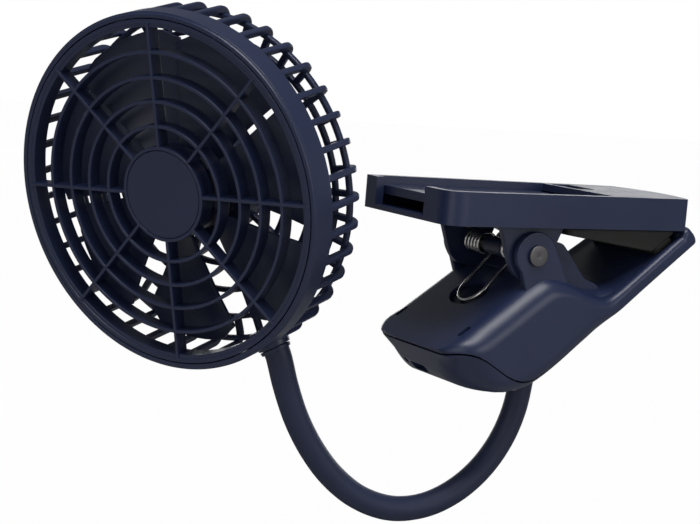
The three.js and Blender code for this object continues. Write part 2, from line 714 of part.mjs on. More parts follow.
function hingePin() {
  const face = bodyEarOuter + seatGap;
  const dome = pinHeadThickness / 3;
  const pin = turned([
    [0, -face - pinHeadThickness], [pinHeadRadius - dome, -face - pinHeadThickness],
    [pinHeadRadius, -face - pinHeadThickness + dome], [pinHeadRadius, -face], [pinRadius, -face],
    [pinRadius, face + pinTail], [0, face + pinTail],
  ], 18);
  return moved(pin, new THREE.Matrix4().makeRotationX(-Math.PI / 2));
}

function pinCap() {
  const face = bodyEarOuter + seatGap;
  const bore = pinRadius + seatGap;
  const end = face + pinTail + seatGap;
  const cap = turned([
    [bore, face], [pinHeadRadius, face], [pinHeadRadius, end + pinCapSkin / 2],
    [pinHeadRadius - pinCapSkin / 2, end + pinCapSkin], [0, end + pinCapSkin], [0, end], [bore, end],
    [bore, face],
  ], 18);
  return moved(cap, new THREE.Matrix4().makeRotationX(-Math.PI / 2));
}

function pinBush() {
  const half = coilInnerEnd - wireRadius - runGap;
  const bush = ring(pinRadius + seatGap, coilRadius - 0.3, -half, half, 24);
  return moved(bush, new THREE.Matrix4().makeRotationX(-Math.PI / 2));
}

// Angle of the place on the coil from which a straight leg runs to a point, leaving it on the given side.
function tangentAngle(x, z, side) {
  return Math.atan2(z, x) + side * Math.acos(coilRadius / Math.hypot(x, z));
}

// Half of the spring, from the middle of its loop out to the end of one leg.
function springHalf() {
  const loopZ = bodyTop - recess.depth + seatGap + wireRadius;
  const legTop = onBody(springLegEnd, -seatGap - wireRadius);
  const startAngle = tangentAngle(springLoopEnd, loopZ, 1);
  const endAngle = tangentAngle(legTop[0], legTop[1], -1);
  const sweep = endAngle - startAngle + 2 * Math.PI * coilTurns;
  const onCoil = (angle, y) => new THREE.Vector3(coilRadius * Math.cos(angle), y, coilRadius * Math.sin(angle));
  const start = onCoil(startAngle, coilInnerEnd);
  const apex = new THREE.Vector3(springLoopEnd, 0, loopZ);
  const slope = (start.z - apex.z) / (start.x - apex.x);
  const points = [];
  const arcSteps = 4;
  for (let i = 0; i <= arcSteps; i += 1) {
    const angle = (i / arcSteps) * (Math.PI / 2);
    const x = springLoopEnd + coilInnerEnd * (1 - Math.cos(angle));
    const y = coilInnerEnd * Math.sin(angle);
    points.push(new THREE.Vector3(x, y, apex.z + slope * (x - apex.x)));
  }
  const steps = Math.round((coilSteps * sweep) / (2 * Math.PI));
  for (let i = 0; i <= steps; i += 1) {
    const angle = startAngle + (sweep * i) / steps;
    const y = coilInnerEnd + (coilPitch * sweep * i) / (steps * 2 * Math.PI);
    points.push(onCoil(angle, y));
  }
  const last = points.at(-1);
  points.push(new THREE.Vector3(legTop[0], last.y, legTop[1]));
  return points;
}

// Least distance between two stretches of wire that are not next to each other along it.
function leastWireGap(points) {
  const apart = coilSteps / 2;
  let least = Infinity;
  points.forEach((point, i) => {
    for (let j = i + apart; j < points.length; j += 1) least = Math.min(least, point.distanceTo(points[j]));
  });
  return least - 2 * wireRadius;
}

// One unbroken wire of the given sides along a run of points, closed at both ends.
function wireAlong(points, radius, sides) {
  const positions = [];
  let normal = new THREE.Vector3(0, 0, 1);
  points.forEach((point, i) => {
    const ahead = points[Math.min(i + 1, points.length - 1)];
    const behind = points[Math.max(i - 1, 0)];
    const tangent = ahead.clone().sub(behind).normalize();
    normal = normal.clone().addScaledVector(tangent, -normal.dot(tangent)).normalize();
    const binormal = tangent.clone().cross(normal);
    for (let k = 0; k < sides; k += 1) {
      const angle = (2 * Math.PI * k) / sides;
      const place = point.clone().addScaledVector(normal, radius * Math.cos(angle));
      place.addScaledVector(binormal, radius * Math.sin(angle));
      positions.push(...place.toArray());
    }
  });
  const faces = [];
  for (let i = 0; i + 1 < points.length; i += 1) {
    for (let k = 0; k < sides; k += 1) {
      const next = (k + 1) % sides;
      const [a, b, c, d] = [i * sides + k, i * sides + next, (i + 1) * sides + next, (i + 1) * sides + k];
      faces.push(a, b, c, a, c, d);
    }
  }
  const last = (points.length - 1) * sides;
  for (let k = 1; k + 1 < sides; k += 1) faces.push(0, k + 1, k, last, last + k, last + k + 1);
  const geometry = new THREE.BufferGeometry();
  geometry.setAttribute('position', new THREE.Float32BufferAttribute(positions, 3));
  geometry.setIndex(faces);
  return toSolid(geometry);
}

function torsionSpring() {
  const half = springHalf();
  const mirrored = half.slice(1).reverse().map((point) => new THREE.Vector3(point.x, -point.y, point.z));
  const points = [...mirrored, ...half];
  console.log(`spring wire's least gap to itself: ${leastWireGap(points).toFixed(2)} mm`);
  return wireAlong(points, wireRadius, wireSides);
}

// ---------------------------------------------------------------- fan head frame
const headBack = new THREE.Vector3(
  Math.cos(radians(headTilt)) * Math.cos(radians(headYaw)),
  Math.cos(radians(headTilt)) * Math.sin(radians(headYaw)),
  Math.sin(radians(headTilt)),
);
const headSide = new THREE.Vector3(-Math.sin(radians(headYaw)), Math.cos(radians(headYaw)), 0);
const headUp = headBack.clone().cross(headSide);
const headMatrix = new THREE.Matrix4().makeBasis(headSide, headUp, headBack).setPosition(headFront);
headFrame.applyMatrix4(headMatrix);

// A solid repeated round the fan's axis.
function around(solid, count, start = 0) {
  const turns = Array.from({ length: count }, (_, i) => start + (2 * Math.PI * i) / count);
  return turns.map((turn) => moved(solid, new THREE.Matrix4().makeRotationZ(turn)));
}

// Distances from the fan's axis of the socket boss's outer face, its cup's mouth and the sleeve's end.
const socketBoss = bandRadius + 1;
const socketMouth = socketBoss + seatGap + flangeThickness;
const sleeveEnd = socketMouth - ferruleLength + ferruleWall + seatGap;

// Direction of the neck's socket, seen from the fan's axis.
const socketTurn = radians(90 - socketAngle);
const socketOut = new THREE.Vector3(Math.cos(socketTurn), Math.sin(socketTurn), 0);

// Where the socket's line lies: z runs outwards from the fan's axis.
function socketPlace() {
  const across = axisZ.clone().cross(socketOut);
  const place = new THREE.Matrix4().makeBasis(across, axisZ, socketOut);
  return place.setPosition(0, 0, socketDepth);
}

// ---------------------------------------------------------------- guard and cage
const rimOuter = bandRadius - bandWall - seatGap;
const rimInner = rimOuter - rimWidth;

function spokeBars() {
  const [inner, outer] = [hubRadius - joinLap, rimInner + joinLap];
  const bar = box([inner, -ringWidth / 2, spokeInset], [outer, ringWidth / 2, guardDepth - spokeInset]);
  return around(bar, spokeCount, radians(90 - headRoll));
}

function frontGuard() {
  const rim = ring(rimInner, rimOuter, 0, rimDepth);
  const rings = ringRadii.map((radius) => {
    return ring(radius - ringWidth / 2, radius + ringWidth / 2, 0, guardDepth, guardSides);
  });
  const hubDepth = guardDepth + hubWall;
  const hub = turned([
    [0, capThickness + seatGap], [hubRadius - hubWall, capThickness + seatGap], [hubRadius - hubWall, 0],
    [hubRadius, 0], [hubRadius, hubDepth], [0, hubDepth],
  ], guardSides);
  return join(rim, ...rings, hub, ...spokeBars());
}

function hubCap() {
  return plug(hubRadius - hubWall - seatGap, 0, capThickness, guardSides);
}

// Side view of one cage rib, radius against depth: straight back, round the corner and in to the cup.
function ribOutline(innerRadius) {
  const outer = bandRadius;
  const inner = bandRadius - ribThickness;
  const back = cageDepth;
  const shape = new THREE.Shape();
  shape.moveTo(outer, bandDepth - 1);
  shape.absarc(outer - ribCorner, back - ribCorner, ribCorner, 0, Math.PI / 2, false);
  shape.lineTo(innerRadius, back);
  shape.lineTo(innerRadius, back - ribThickness);
  const innerCorner = ribCorner - ribThickness;
  shape.absarc(outer - ribCorner, back - ribCorner, innerCorner, Math.PI / 2, 0, true);
  shape.lineTo(inner, bandDepth - 1);
  return shape;
}

function cageRib(innerRadius) {
  return alongY(ribOutline(innerRadius), -ribWidth / 2, ribWidth / 2, 2);
}

const cupTop = cageDepth - cupDepth;

function rearCage() {
  const band = ring(bandRadius - bandWall, bandRadius, 0, bandDepth);
  const places = Array.from({ length: ribCount }, (_, i) => (2 * Math.PI * i) / ribCount);
  const isLong = (i) => i % (ribCount / innerRibCount) === 0;
  const shortRib = cageRib(ribMeetRadius + hoopSection / 2);
  const longRib = cageRib(cupRadius - cupWall / 2);
  const ribs = places.map((turn, i) => {
    return moved(isLong(i) ? longRib : shortRib, new THREE.Matrix4().makeRotationZ(turn));
  });
  const backRings = [ribMeetRadius, ...hoopRadii].map((radius) => {
    const from = cageDepth - ribThickness;
    const sides = radius === ribMeetRadius ? ribCount : ribCount / 2;
    return ring(radius, radius + hoopSection, from - 0.2, cageDepth - 0.2, sides);
  });
  const cup = turned([
    [0, cupTop], [cupRadius, cupTop], [cupRadius, cageDepth], [cupRadius - cupWall, cageDepth],
    [cupRadius - cupWall, cupTop + cupFloor], [0, cupTop + cupFloor],
  ], 2 * innerRibCount);
  const bossFrom = socketMouth - ferruleLength + 1;
  const boss = moved(rodZ(ferruleFlange, bossFrom, socketBoss), socketPlace());
  const cage = join(band, ...ribs, ...backRings, cup, boss);
  const bearingBore = plug(bearingRadius + seatGap, cupTop - 1, cupTop + cupFloor + 1, 20);
  const screwHoles = screwPoints().map(([x, y]) => {
    return rodZ(cageScrews.screwRadius + seatGap, cupTop - 1, cupTop + cupFloor + 1, x, y, 12);
  });
  const socketBore = moved(rodZ(ferruleOuter + seatGap, bossFrom - 3, socketBoss + 1), socketPlace());
  return cut(cage, bearingBore, socketBore, ...screwHoles);
}

function screwPoints() {
  return Array.from({ length: cageScrews.count }, (_, i) => {
    const turn = (2 * Math.PI * i) / cageScrews.count;
    return [cageScrews.radius * Math.cos(turn), cageScrews.radius * Math.sin(turn)];
  });
}

// ---------------------------------------------------------------- motor, rotor, button
const motorFlangeRadius = cageScrews.radius + cageScrews.headRadius;
const motorBack = cupTop - seatGap;

function motorCan() {
  const flangeFront = motorBack - motorFlangeThickness;
  const can = turned([
    [bearingRadius + seatGap, flangeFront - motorHeight], [motorRadius - 1, flangeFront - motorHeight],
    [motorRadius, flangeFront - motorHeight + 1], [motorRadius, flangeFront],
    [motorFlangeRadius, flangeFront], [motorFlangeRadius, motorBack], [bearingRadius + seatGap, motorBack],
    [bearingRadius + seatGap, flangeFront - motorHeight],
  ], 18);
  const pilots = screwPoints().map(([x, y]) => {
    return rodZ(cageScrews.screwRadius + seatGap, flangeFront - 1, motorBack + 1, x, y, 12);
  });
  return cut(can, ...pilots);
}

function motorBearing() {
  const back = cupTop + cupFloor;
  return ring(shaftRadius + seatGap, bearingRadius, motorBack - motorHeight, back, 20);
}

function motorScrew([x, y]) {
  const head = cupTop + cupFloor + seatGap;
  const foot = motorBack - motorFlangeThickness;
  return turnedAt([
    [0, foot], [cageScrews.screwRadius, foot], [cageScrews.screwRadius, head], [cageScrews.headRadius, head],
    [cageScrews.headRadius, head + cageScrews.headHeight], [0, head + cageScrews.headHeight],
  ], x, y, 12);
}

function motorBoard() {
  const from = cupTop + cupFloor + cageScrews.headHeight + 2 * seatGap;
  const outer = cupRadius - cupWall - seatGap;
  return ring(shaftRadius + runGap, outer, from, from + motorBoardThickness, 20);
}

const coverBack = cageDepth + seatGap + coverThickness;
const buttonFront = cageDepth - 1.6;

function motorCover() {
  const lip = cupRadius - cupWall - seatGap;
  const front = cageDepth + seatGap;
  const bore = buttonRadius + seatGap;
  return turned([
    [bore, front], [lip - 1.2, front], [lip - 1.2, front - 1.5], [lip, front - 1.5], [lip, front],
    [cupRadius, front], [cupRadius, coverBack - 0.8], [cupRadius - 0.8, coverBack], [bore, coverBack],
    [bore, front],
  ], 20);
}

function powerButton() {
  const skirt = buttonRadius + buttonLip;
  const face = coverBack + buttonRise;
  return turned([
    [0, buttonFront], [skirt, buttonFront], [skirt, cageDepth], [buttonRadius, cageDepth],
    [buttonRadius, face - 0.5], [buttonRadius - 0.8, face], [0, face - 0.3],
  ], 20);
}

// One blade: a sheet that rises along the axis from its leading to its trailing edge.
function blade() {
  const spanSteps = 4;
  const chordSteps = 3;
  const inner = rotorHubRadius - joinLap;
  const middle = bladeMiddle;
  const positions = [];
  for (const side of [-0.5, 0.5]) {
    for (let i = 0; i <= spanSteps; i += 1) {
      const span = i / spanSteps;
      const radius = inner + (bladeTipRadius - inner) * span;
      const rise = bladeRise * (1 - bladeTwist * span);
      for (let k = 0; k <= chordSteps; k += 1) {
        const chord = k / chordSteps - 0.5;
        const angle = radians(bladeChord * chord);
        const camber = 1.6 * (0.25 - chord * chord);
        const depth = middle + rise * chord - camber + side * bladeThickness;
        positions.push(radius * Math.cos(angle), radius * Math.sin(angle), depth);
      }
    }
  }
  const row = chordSteps + 1;
  const sheet = row * (spanSteps + 1);
  const faces = [];
  const quad = (a, b, c, d) => faces.push(a, b, c, a, c, d);
  for (let i = 0; i < spanSteps; i += 1) {
    for (let k = 0; k < chordSteps; k += 1) {
      const [a, b, c, d] = [i * row + k, i * row + k + 1, (i + 1) * row + k + 1, (i + 1) * row + k];
      quad(a, b, c, d);
      quad(sheet + a, sheet + d, sheet + c, sheet + b);
    }
  }
  const rim = [];
  for (let k = 0; k < chordSteps; k += 1) rim.push(k);
  for (let i = 0; i < spanSteps; i += 1) rim.push(i * row + chordSteps);
  for (let k = chordSteps; k > 0; k -= 1) rim.push(spanSteps * row + k);
  for (let i = spanSteps; i > 0; i -= 1) rim.push(i * row);
  rim.forEach((a, i) => {
    const b = rim[(i + 1) % rim.length];
    quad(a, sheet + a, sheet + b, b);
  });
  const geometry = new THREE.BufferGeometry();
  geometry.setAttribute('position', new THREE.Float32BufferAttribute(positions, 3));
  geometry.setIndex(faces);
  return toSolid(geometry);
}

function impeller() {
  const back = rotorFront + rotorDepth;
  const inner = rotorHubRadius - rotorWall;
  const shaftBoss = shaftRadius + 1.4;
  const hub = turned([
    [shaftRadius + seatGap / 3, rotorFront + 0.6], [shaftBoss, rotorFront], [rotorHubRadius - 1, rotorFront],
    [rotorHubRadius, rotorFront + 1], [rotorHubRadius, back - 2.4], [inner, back - 2.4],
    [inner, rotorFront + rotorWall], [shaftRadius + seatGap / 3, rotorFront + rotorWall],
    [shaftRadius + seatGap / 3, rotorFront + 0.6],
  ], 28);
  const firstBlade = radians(bladeTurn + 180 / bladeCount);
  return join(hub, ...around(blade(), bladeCount, firstBlade));
}

function motorShaft() {
  return plug(shaftRadius, rotorFront + 0.2, cupTop + cupFloor - 0.2, 16);
}

// ---------------------------------------------------------------- neck
function neckCurve() {
  const places = neckRoute.map(([x, z]) => new THREE.Vector3(x, 0, z));
  for (const radius of [socketMouth + 1, (socketMouth + sleeveEnd) / 2, sleeveEnd]) {
    const place = new THREE.Vector3(0, 0, socketDepth).addScaledVector(socketOut, radius);
    places.push(place.applyMatrix4(headMatrix));
  }
  return new THREE.CatmullRomCurve3(places, false, 'centripetal');
}

class Stretch extends THREE.Curve {
  constructor(whole, from, to) {
    super();
    Object.assign(this, { whole, from, to });
  }

  getPoint(share) {
    return this.whole.getPointAt(THREE.MathUtils.lerp(this.from, this.to, share));
  }
}

function ball(radius, place, sides) {
  return toSolid(new THREE.SphereGeometry(radius, sides, sides / 2).translate(...place.toArray()));
}

// One sleeve of the neck: it carries a ball at its far end and a cup for the ball before it.
function neckSleeve(route, index) {
  const [from, to] = [index / neckLinks, (index + 1) / neckLinks];
  const circle = new THREE.Shape();
  circle.absarc(0, 0, neckRadius, 0, 2 * Math.PI);
  const geometry = new THREE.ExtrudeGeometry(circle, {
    extrudePath: new Stretch(route, from, to), steps: stepsPerLink, curveSegments: neckSides / 2,
  });
  let sleeve = toSolid(geometry);
  if (index < neckLinks - 1) sleeve = join(sleeve, ball(neckRadius, route.getPointAt(to), neckSides));
  if (index > 0) sleeve = cut(sleeve, ball(neckRadius + cupGap, route.getPointAt(from), 16));
  return sleeve;
}

// A cup that closes round a neck end, its mouth at height 0, with a flange round it from the given height.
function ferrule(flangeFrom) {
  const inner = neckRadius + seatGap;
  const cup = turned([
    [inner, 0], [ferruleOuter, 0], [ferruleOuter, ferruleLength], [wireHoleRadius, ferruleLength],
    [wireHoleRadius, ferruleLength - ferruleWall], [inner, ferruleLength - ferruleWall], [inner, 0],
  ], 16);
  const flange = ring(inner + joinLap, ferruleFlange, flangeFrom, flangeFrom + flangeThickness, 16);
  return join(cup, flange);
}

// The clip end's cup sits upside down on the cover's neck boss, round the top of the first sleeve.
function clipFerrule() {
  return onNeckAxis(moved(ferrule(0), new THREE.Matrix4().makeTranslation(0, 0, neckBossTop + seatGap)));
}

// The head end's cup is sunk in the cage's boss with its flange outside, round the end of the last sleeve.
function headFerrule() {
  const turn = new THREE.Matrix4().makeRotationX(Math.PI).setPosition(0, 0, socketMouth);
  return moved(moved(ferrule(0), turn), socketPlace());
}

// ---------------------------------------------------------------- assembly
addPiece(bodyFrame, 'upper_shell', upperShell(), 'navy');
addPiece(bodyFrame, 'bottom_cover', bottomCover(), 'navy');
screwPlaces.forEach((place, i) => addPiece(bodyFrame, `cover_screw_${i + 1}`, coverScrew(place), 'steel'));
addPiece(bodyFrame, 'battery_cell', batteryCell(), 'cell');
addPiece(bodyFrame, 'circuit_board', circuitBoard(), 'board');
addPiece(bodyFrame, 'usb_socket', usbSocket(), 'steel');
addPiece(bodyFrame, 'led_window', ledWindow(), 'lens');
addPiece(bodyFrame, 'lower_jaw_pad', lowerPad(), 'rubber');
addPiece(bodyFrame, 'hinge_pin', hingePin(), 'steel');
addPiece(bodyFrame, 'pin_cap', pinCap(), 'steel');
addPiece(bodyFrame, 'pin_bush', pinBush(), 'navy');
addPiece(bodyFrame, 'torsion_spring', torsionSpring(), 'steel');
addPiece(bodyFrame, 'neck_ferrule_clip', clipFerrule(), 'steel');

addPiece(plateFrame, 'lever_plate', leverPlate(), 'navy');
addPiece(plateFrame, 'upper_jaw_pad', upperPad(), 'rubber');
addPiece(plateFrame, 'panel_pin', panelPin(), 'steel');
addPiece(plateFrame, 'fold_out_panel', foldOutPanel(), 'navy');

const route = neckCurve();
for (let i = 0; i < neckLinks; i += 1) {
  addPiece(plateFrame, `neck_sleeve_${i + 1}`, neckSleeve(route, i), 'sleeve');
}

addPiece(headFrame, 'rear_cage', rearCage(), 'navy');
addPiece(headFrame, 'neck_ferrule_head', headFerrule(), 'navy');
addPiece(headFrame, 'front_guard', frontGuard(), 'guard');
addPiece(headFrame, 'hub_cap', hubCap(), 'navy');
addPiece(headFrame, 'motor_can', motorCan(), 'steel');
addPiece(headFrame, 'motor_bearing', motorBearing(), 'brass');
screwPoints().forEach((place, i) => addPiece(headFrame, `motor_screw_${i + 1}`, motorScrew(place), 'steel'));
addPiece(headFrame, 'motor_board', motorBoard(), 'board');
addPiece(headFrame, 'motor_cover', motorCover(), 'navy');
addPiece(headFrame, 'impeller', impeller(), 'navy');
addPiece(headFrame, 'motor_shaft', motorShaft(), 'steel');
addPiece(headFrame, 'power_button', powerButton(), 'navy');

const [originX, originZ] = onPlate((lowerPadFrom + lowerPadTo) / 2, lowerPadFace);
fan.position.set(-originX, 0, -originZ);

export default fan;
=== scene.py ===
# Looks of a clip-on fan: a caged fan head on a sleeved bendable neck, held by a sprung clip.
# Shapes are drawn in millimetres in the frame of the piece that carries them, then placed in metres.
import bpy
import bmesh
import math
from mathutils import Matrix, Vector


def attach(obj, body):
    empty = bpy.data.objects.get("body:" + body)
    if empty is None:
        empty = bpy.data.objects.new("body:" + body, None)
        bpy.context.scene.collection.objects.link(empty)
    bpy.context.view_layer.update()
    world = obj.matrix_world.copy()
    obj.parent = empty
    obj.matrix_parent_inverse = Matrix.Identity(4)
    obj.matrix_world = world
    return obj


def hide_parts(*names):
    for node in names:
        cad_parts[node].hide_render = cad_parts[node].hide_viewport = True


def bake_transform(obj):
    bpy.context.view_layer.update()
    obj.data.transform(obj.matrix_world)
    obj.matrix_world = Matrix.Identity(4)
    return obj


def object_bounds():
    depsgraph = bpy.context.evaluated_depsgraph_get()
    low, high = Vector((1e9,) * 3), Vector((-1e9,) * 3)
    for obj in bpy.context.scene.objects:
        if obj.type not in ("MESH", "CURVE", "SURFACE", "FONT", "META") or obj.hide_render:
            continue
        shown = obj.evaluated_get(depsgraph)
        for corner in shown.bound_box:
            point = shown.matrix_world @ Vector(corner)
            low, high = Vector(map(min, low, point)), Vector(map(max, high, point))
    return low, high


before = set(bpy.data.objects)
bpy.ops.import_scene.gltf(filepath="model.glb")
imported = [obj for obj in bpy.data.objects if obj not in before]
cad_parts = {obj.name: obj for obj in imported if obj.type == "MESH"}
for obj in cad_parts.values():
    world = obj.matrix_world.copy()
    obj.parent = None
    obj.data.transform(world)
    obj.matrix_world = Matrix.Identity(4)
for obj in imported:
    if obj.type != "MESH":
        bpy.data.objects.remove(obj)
cad_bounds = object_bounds()
scene = bpy.context.scene
MM = 0.001
DEG = math.pi / 180
SHARP_ANGLE = 38  # degrees between faces, from which an edge is shaded as an edge

# ---------------------------------------------------------------- driving dimensions, millimetres
PLATE_SHIFT = Vector((-92.391, 0, 4.577))  # from the plate's frame to the whole fan's
PIN = Vector((38.1, 0, -9.4))
PIN_HOLE, PIN_HEAD_RADIUS, PIN_HEAD_THICK = 2.3, 3.5, 1
BODY_ANGLE = 35.5
RUN_GAP, SEAT_GAP = 0.6, 0.3  # beside what moves, and between pieces that rest on each other

PLATE_LENGTH, PLATE_BOW, PLATE_HEIGHT, PLATE_WALL = 100, 4, 11, 3
PLATE_HANDLE_HALF, PLATE_JAW_HALF = 28, 22.3
PLATE_FLOOR, PLATE_ROOF = 1.5, 2.5
HANDLE_CORNER, FAR_CORNER, JAW_CORNER = 8, 1.6, 2
NOTCH = (-12, 20)
THUMB_RECESS = ((70, 2), (78, 20))
PLATE_HAIRLINE = ((88.9, -8), (89.2, 10))
PANEL_HINGE_X, PANEL_THICK, PANEL_TOP = 66, 3, 8.2
PANEL_GROOVE = ((10, -13), (11.2, 13))
POCKET_END = PANEL_HINGE_X + PANEL_THICK / 2 + RUN_GAP
EAR_IN, EAR_OUT, EAR_RADIUS = 18, 20.4, 9.2
EAR_SLOT = (17.4, 21)

BODY_TOP, BODY_BOTTOM, HANDLE_END, ARM_TIP = -7, -37, -43.2, 58.6
BODY_HALF, ARM_HALF = 28, 22
ARM_TOP, ARM_BOTTOM = -30.2, -34.2
BODY_BOW, ARM_BOW, BODY_CORNER = 2.47, 1.2, 8.5
TOP_CORNER, ARM_TOP_CORNER = 8, 2.2
BASE_CORNER, ARM_BASE_CORNER = 6.5, 1.9
TIP_CORNER = 2.6
BODY_WALL, CAVITY_END = 2.2, 9.5
BODY_EAR = (21, 23.4)
BODY_EAR_RADIUS = 7.8
DISH_X, DISH_LENGTH, DISH_WIDTH, DISH_DEPTH = -17.5, 13, 18, 1.5  # the oval that the spring's loop lies in
VENT_PLACE, VENT_SIZE = (-34.3, 20.4), (5, 2)
PORT_MIDDLE, PORT = -19.5, ((-1.8, -1.9), (7.8, 1.9))
COVER_SCREWS = ((-27, -20), (-27, 20), (3.5, -20.5), (3.5, 20.5))
LOWER_PAD, PAD_THICK = ((42.5, -19), (51.5, 19)), 2.3

HEAD_FRONT = Vector((-82.6, 7.8, 3.3))
HEAD_YAW, HEAD_TILT, HEAD_ROLL = 30.45, 11.47, 2.6
BAND_RADIUS, BAND_DEPTH, CAGE_DEPTH = 57, 9, 28
RIM_OUTER, RIM_INNER = 54.7, 52.1
GUARD_RINGS = (21.5, 29.2, 36.7, 44.5)
RING_WIDTH, GUARD_DEPTH = 1.1, 5
HUB_RADIUS = 15.2
SPOKES, RIBS, LONG_RIBS = 8, 40, 10
HOOP_RADII = (46, 37, 28)
CUP_RADIUS, CUP_DEPTH = 19, 8
SOCKET_ANGLE, SOCKET_DEPTH, SOCKET_BOSS = 207, 20, 58
BLADES, BLADE_TURN, BLADE_CHORD = 7, 90, 48
BLADE_TIP, ROTOR_HUB, ROTOR_FRONT, ROTOR_DEPTH = 50, 14.5, 8, 12

NECK_RADIUS, NECK_LINKS = 4.25, 6
SLEEVE_END = 53.4  # from the head's axis
NECK_ROUTE = (
    (54, -28.4), (54, -36), (54, -44), (52.8, -52), (50.6, -66.1), (46.2, -76.9), (39.1, -86.4),
    (29.6, -93.8), (18, -98.4), (5.1, -99), (-8, -94.7), (-18.9, -86.9), (-27.4, -77.3), (-33.9, -66.9),
    (-38.6, -56.2),
)
WIRE_RADIUS, COIL_RADIUS, COIL_INNER, COIL_PITCH, COIL_TURNS = 0.6, 3.5, 6.4, 2, 5
SPRING_LOOP_END, SPRING_LEG_END = -21, 25


# ---------------------------------------------------------------- frames
def metres(matrix):
    """A frame in millimetres as one that also turns its contents into metres."""
    return Matrix.Scale(MM, 4) @ matrix


PLATE_MM = Matrix.Translation(PLATE_SHIFT)
BODY_MM = PLATE_MM @ Matrix.Translation(PIN) @ Matrix.Rotation(-BODY_ANGLE * DEG, 4, "Y")
head_back = Vector((
    math.cos(HEAD_TILT * DEG) * math.cos(HEAD_YAW * DEG),
    math.cos(HEAD_TILT * DEG) * math.sin(HEAD_YAW * DEG),
    math.sin(HEAD_TILT * DEG),
))
head_side = Vector((-math.sin(HEAD_YAW * DEG), math.cos(HEAD_YAW * DEG), 0))
head_up = head_back.cross(head_side)
head_turn = Matrix((head_side, head_up, head_back)).transposed().to_4x4()
HEAD_MM = PLATE_MM @ Matrix.Translation(HEAD_FRONT) @ head_turn
socket_out = Vector((math.cos((90 - SOCKET_ANGLE) * DEG), math.sin((90 - SOCKET_ANGLE) * DEG), 0))
PLATE, BODY, HEAD = metres(PLATE_MM), metres(BODY_MM), metres(HEAD_MM)


# ---------------------------------------------------------------- camera
FOCAL_PIXELS, PHOTO_WIDTH, SENSOR = 1800, 700, 36
CAMERA_PLACE = Vector((-0.39019, -0.5089, 0.05748))
CAMERA_RIGHT = Vector((0.87848, -0.47093, 0.08057))
CAMERA_DOWN = Vector((0.01492, -0.14153, -0.98982))


def set_camera():
    data = bpy.data.cameras.new("camera")
    data.sensor_width = SENSOR
    data.lens = FOCAL_PIXELS / PHOTO_WIDTH * SENSOR
    data.clip_start = 0.01
    camera = bpy.data.objects.new("camera", data)
    scene.collection.objects.link(camera)
    right = CAMERA_RIGHT.normalized()
    up = -(CAMERA_DOWN - CAMERA_DOWN.dot(right) * right).normalized()
    turn = Matrix((right, up, right.cross(up))).transposed()
    camera.matrix_world = Matrix.Translation(CAMERA_PLACE) @ turn.to_4x4()
    scene.camera = camera


set_camera()


# ---------------------------------------------------------------- drawing helpers
def new_object(name, bm):
    mesh = bpy.data.meshes.new(name)
    bm.to_mesh(mesh)
    bm.free()
    made = bpy.data.objects.new(name, mesh)
    scene.collection.objects.link(made)
    return made


def tidy(bm):
    gap = 1e-4
    bmesh.ops.remove_doubles(bm, verts=bm.verts, dist=gap)
    bmesh.ops.dissolve_degenerate(bm, edges=bm.edges, dist=gap)
    bmesh.ops.recalc_face_normals(bm, faces=bm.faces)


def apply_modifiers(piece):
    graph = bpy.context.evaluated_depsgraph_get()
    mesh = bpy.data.meshes.new_from_object(piece.evaluated_get(graph))
    piece.modifiers.clear()
    piece.data = mesh
    return piece


def drop(*pieces):
    for piece in pieces:
        bpy.data.objects.remove(piece)


def boolean(piece, tools, operation):
    for tool in tools:
        step = piece.modifiers.new("boolean", "BOOLEAN")
        step.operation, step.object, step.solver = operation, tool, "EXACT"
    apply_modifiers(piece)
    drop(*tools)
    return piece


def cut(piece, *tools):
    return boolean(piece, tools, "DIFFERENCE")


def common(piece, *tools):
    return boolean(piece, tools, "INTERSECT")


def merged(name, *pieces):
    """Several solids as one piece."""
    bm = bmesh.new()
    for piece in pieces:
        bm.from_mesh(piece.data)
    drop(*pieces)
    return new_object(name, bm)


def bevelled(piece, width, segments=2, angle=40):
    step = piece.modifiers.new("bevel", "BEVEL")
    step.width, step.segments, step.limit_method, step.angle_limit = width, segments, "ANGLE", angle * DEG
    return apply_modifiers(piece)


def moved(piece, matrix):
    piece.data.transform(matrix)
    return piece


def settle(piece, place, body, material, nodes=()):
    """Puts a finished piece in its place, on its body, in its finish."""
    bm = bmesh.new()
    bm.from_mesh(piece.data)
    bmesh.ops.recalc_face_normals(bm, faces=bm.faces)
    bm.transform(place)
    bm.to_mesh(piece.data)
    bm.free()
    piece.data.shade_smooth()
    piece.data.set_sharp_from_angle(angle=SHARP_ANGLE * DEG)
    weighted = piece.modifiers.new("weighted", "WEIGHTED_NORMAL")
    weighted.keep_sharp = True
    piece.data.materials.clear()
    piece.data.materials.append(material)
    if body:
        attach(piece, body)
    if nodes:
        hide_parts(*nodes)
    return piece


def softened(points, radius, steps=3):
    """A closed outline with each corner rounded, by less where its sides are short."""
    count = len(points)
    out = []
    for i, (x, y) in enumerate(points):
        here = Vector((x, y))
        before = Vector(points[i - 1]) - here
        after = Vector(points[(i + 1) % count]) - here
        turn = before.angle(after, math.pi)
        reach = min(radius / max(math.tan(turn / 2), 0.05), 0.45 * before.length, 0.45 * after.length)
        if turn > 175 * DEG:
            out.append((x, y))
            continue
        start = here + before.normalized() * reach
        end = here + after.normalized() * reach
        for k in range(steps + 1):
            t = k / steps
            place = start * (1 - t) ** 2 + here * 2 * t * (1 - t) + end * t ** 2
            out.append((place.x, place.y))
    return out


def rectangle(low, high):
    """The corners of a rectangle, from two opposite ones."""
    return [low, (high[0], low[1]), high, (low[0], high[1])]


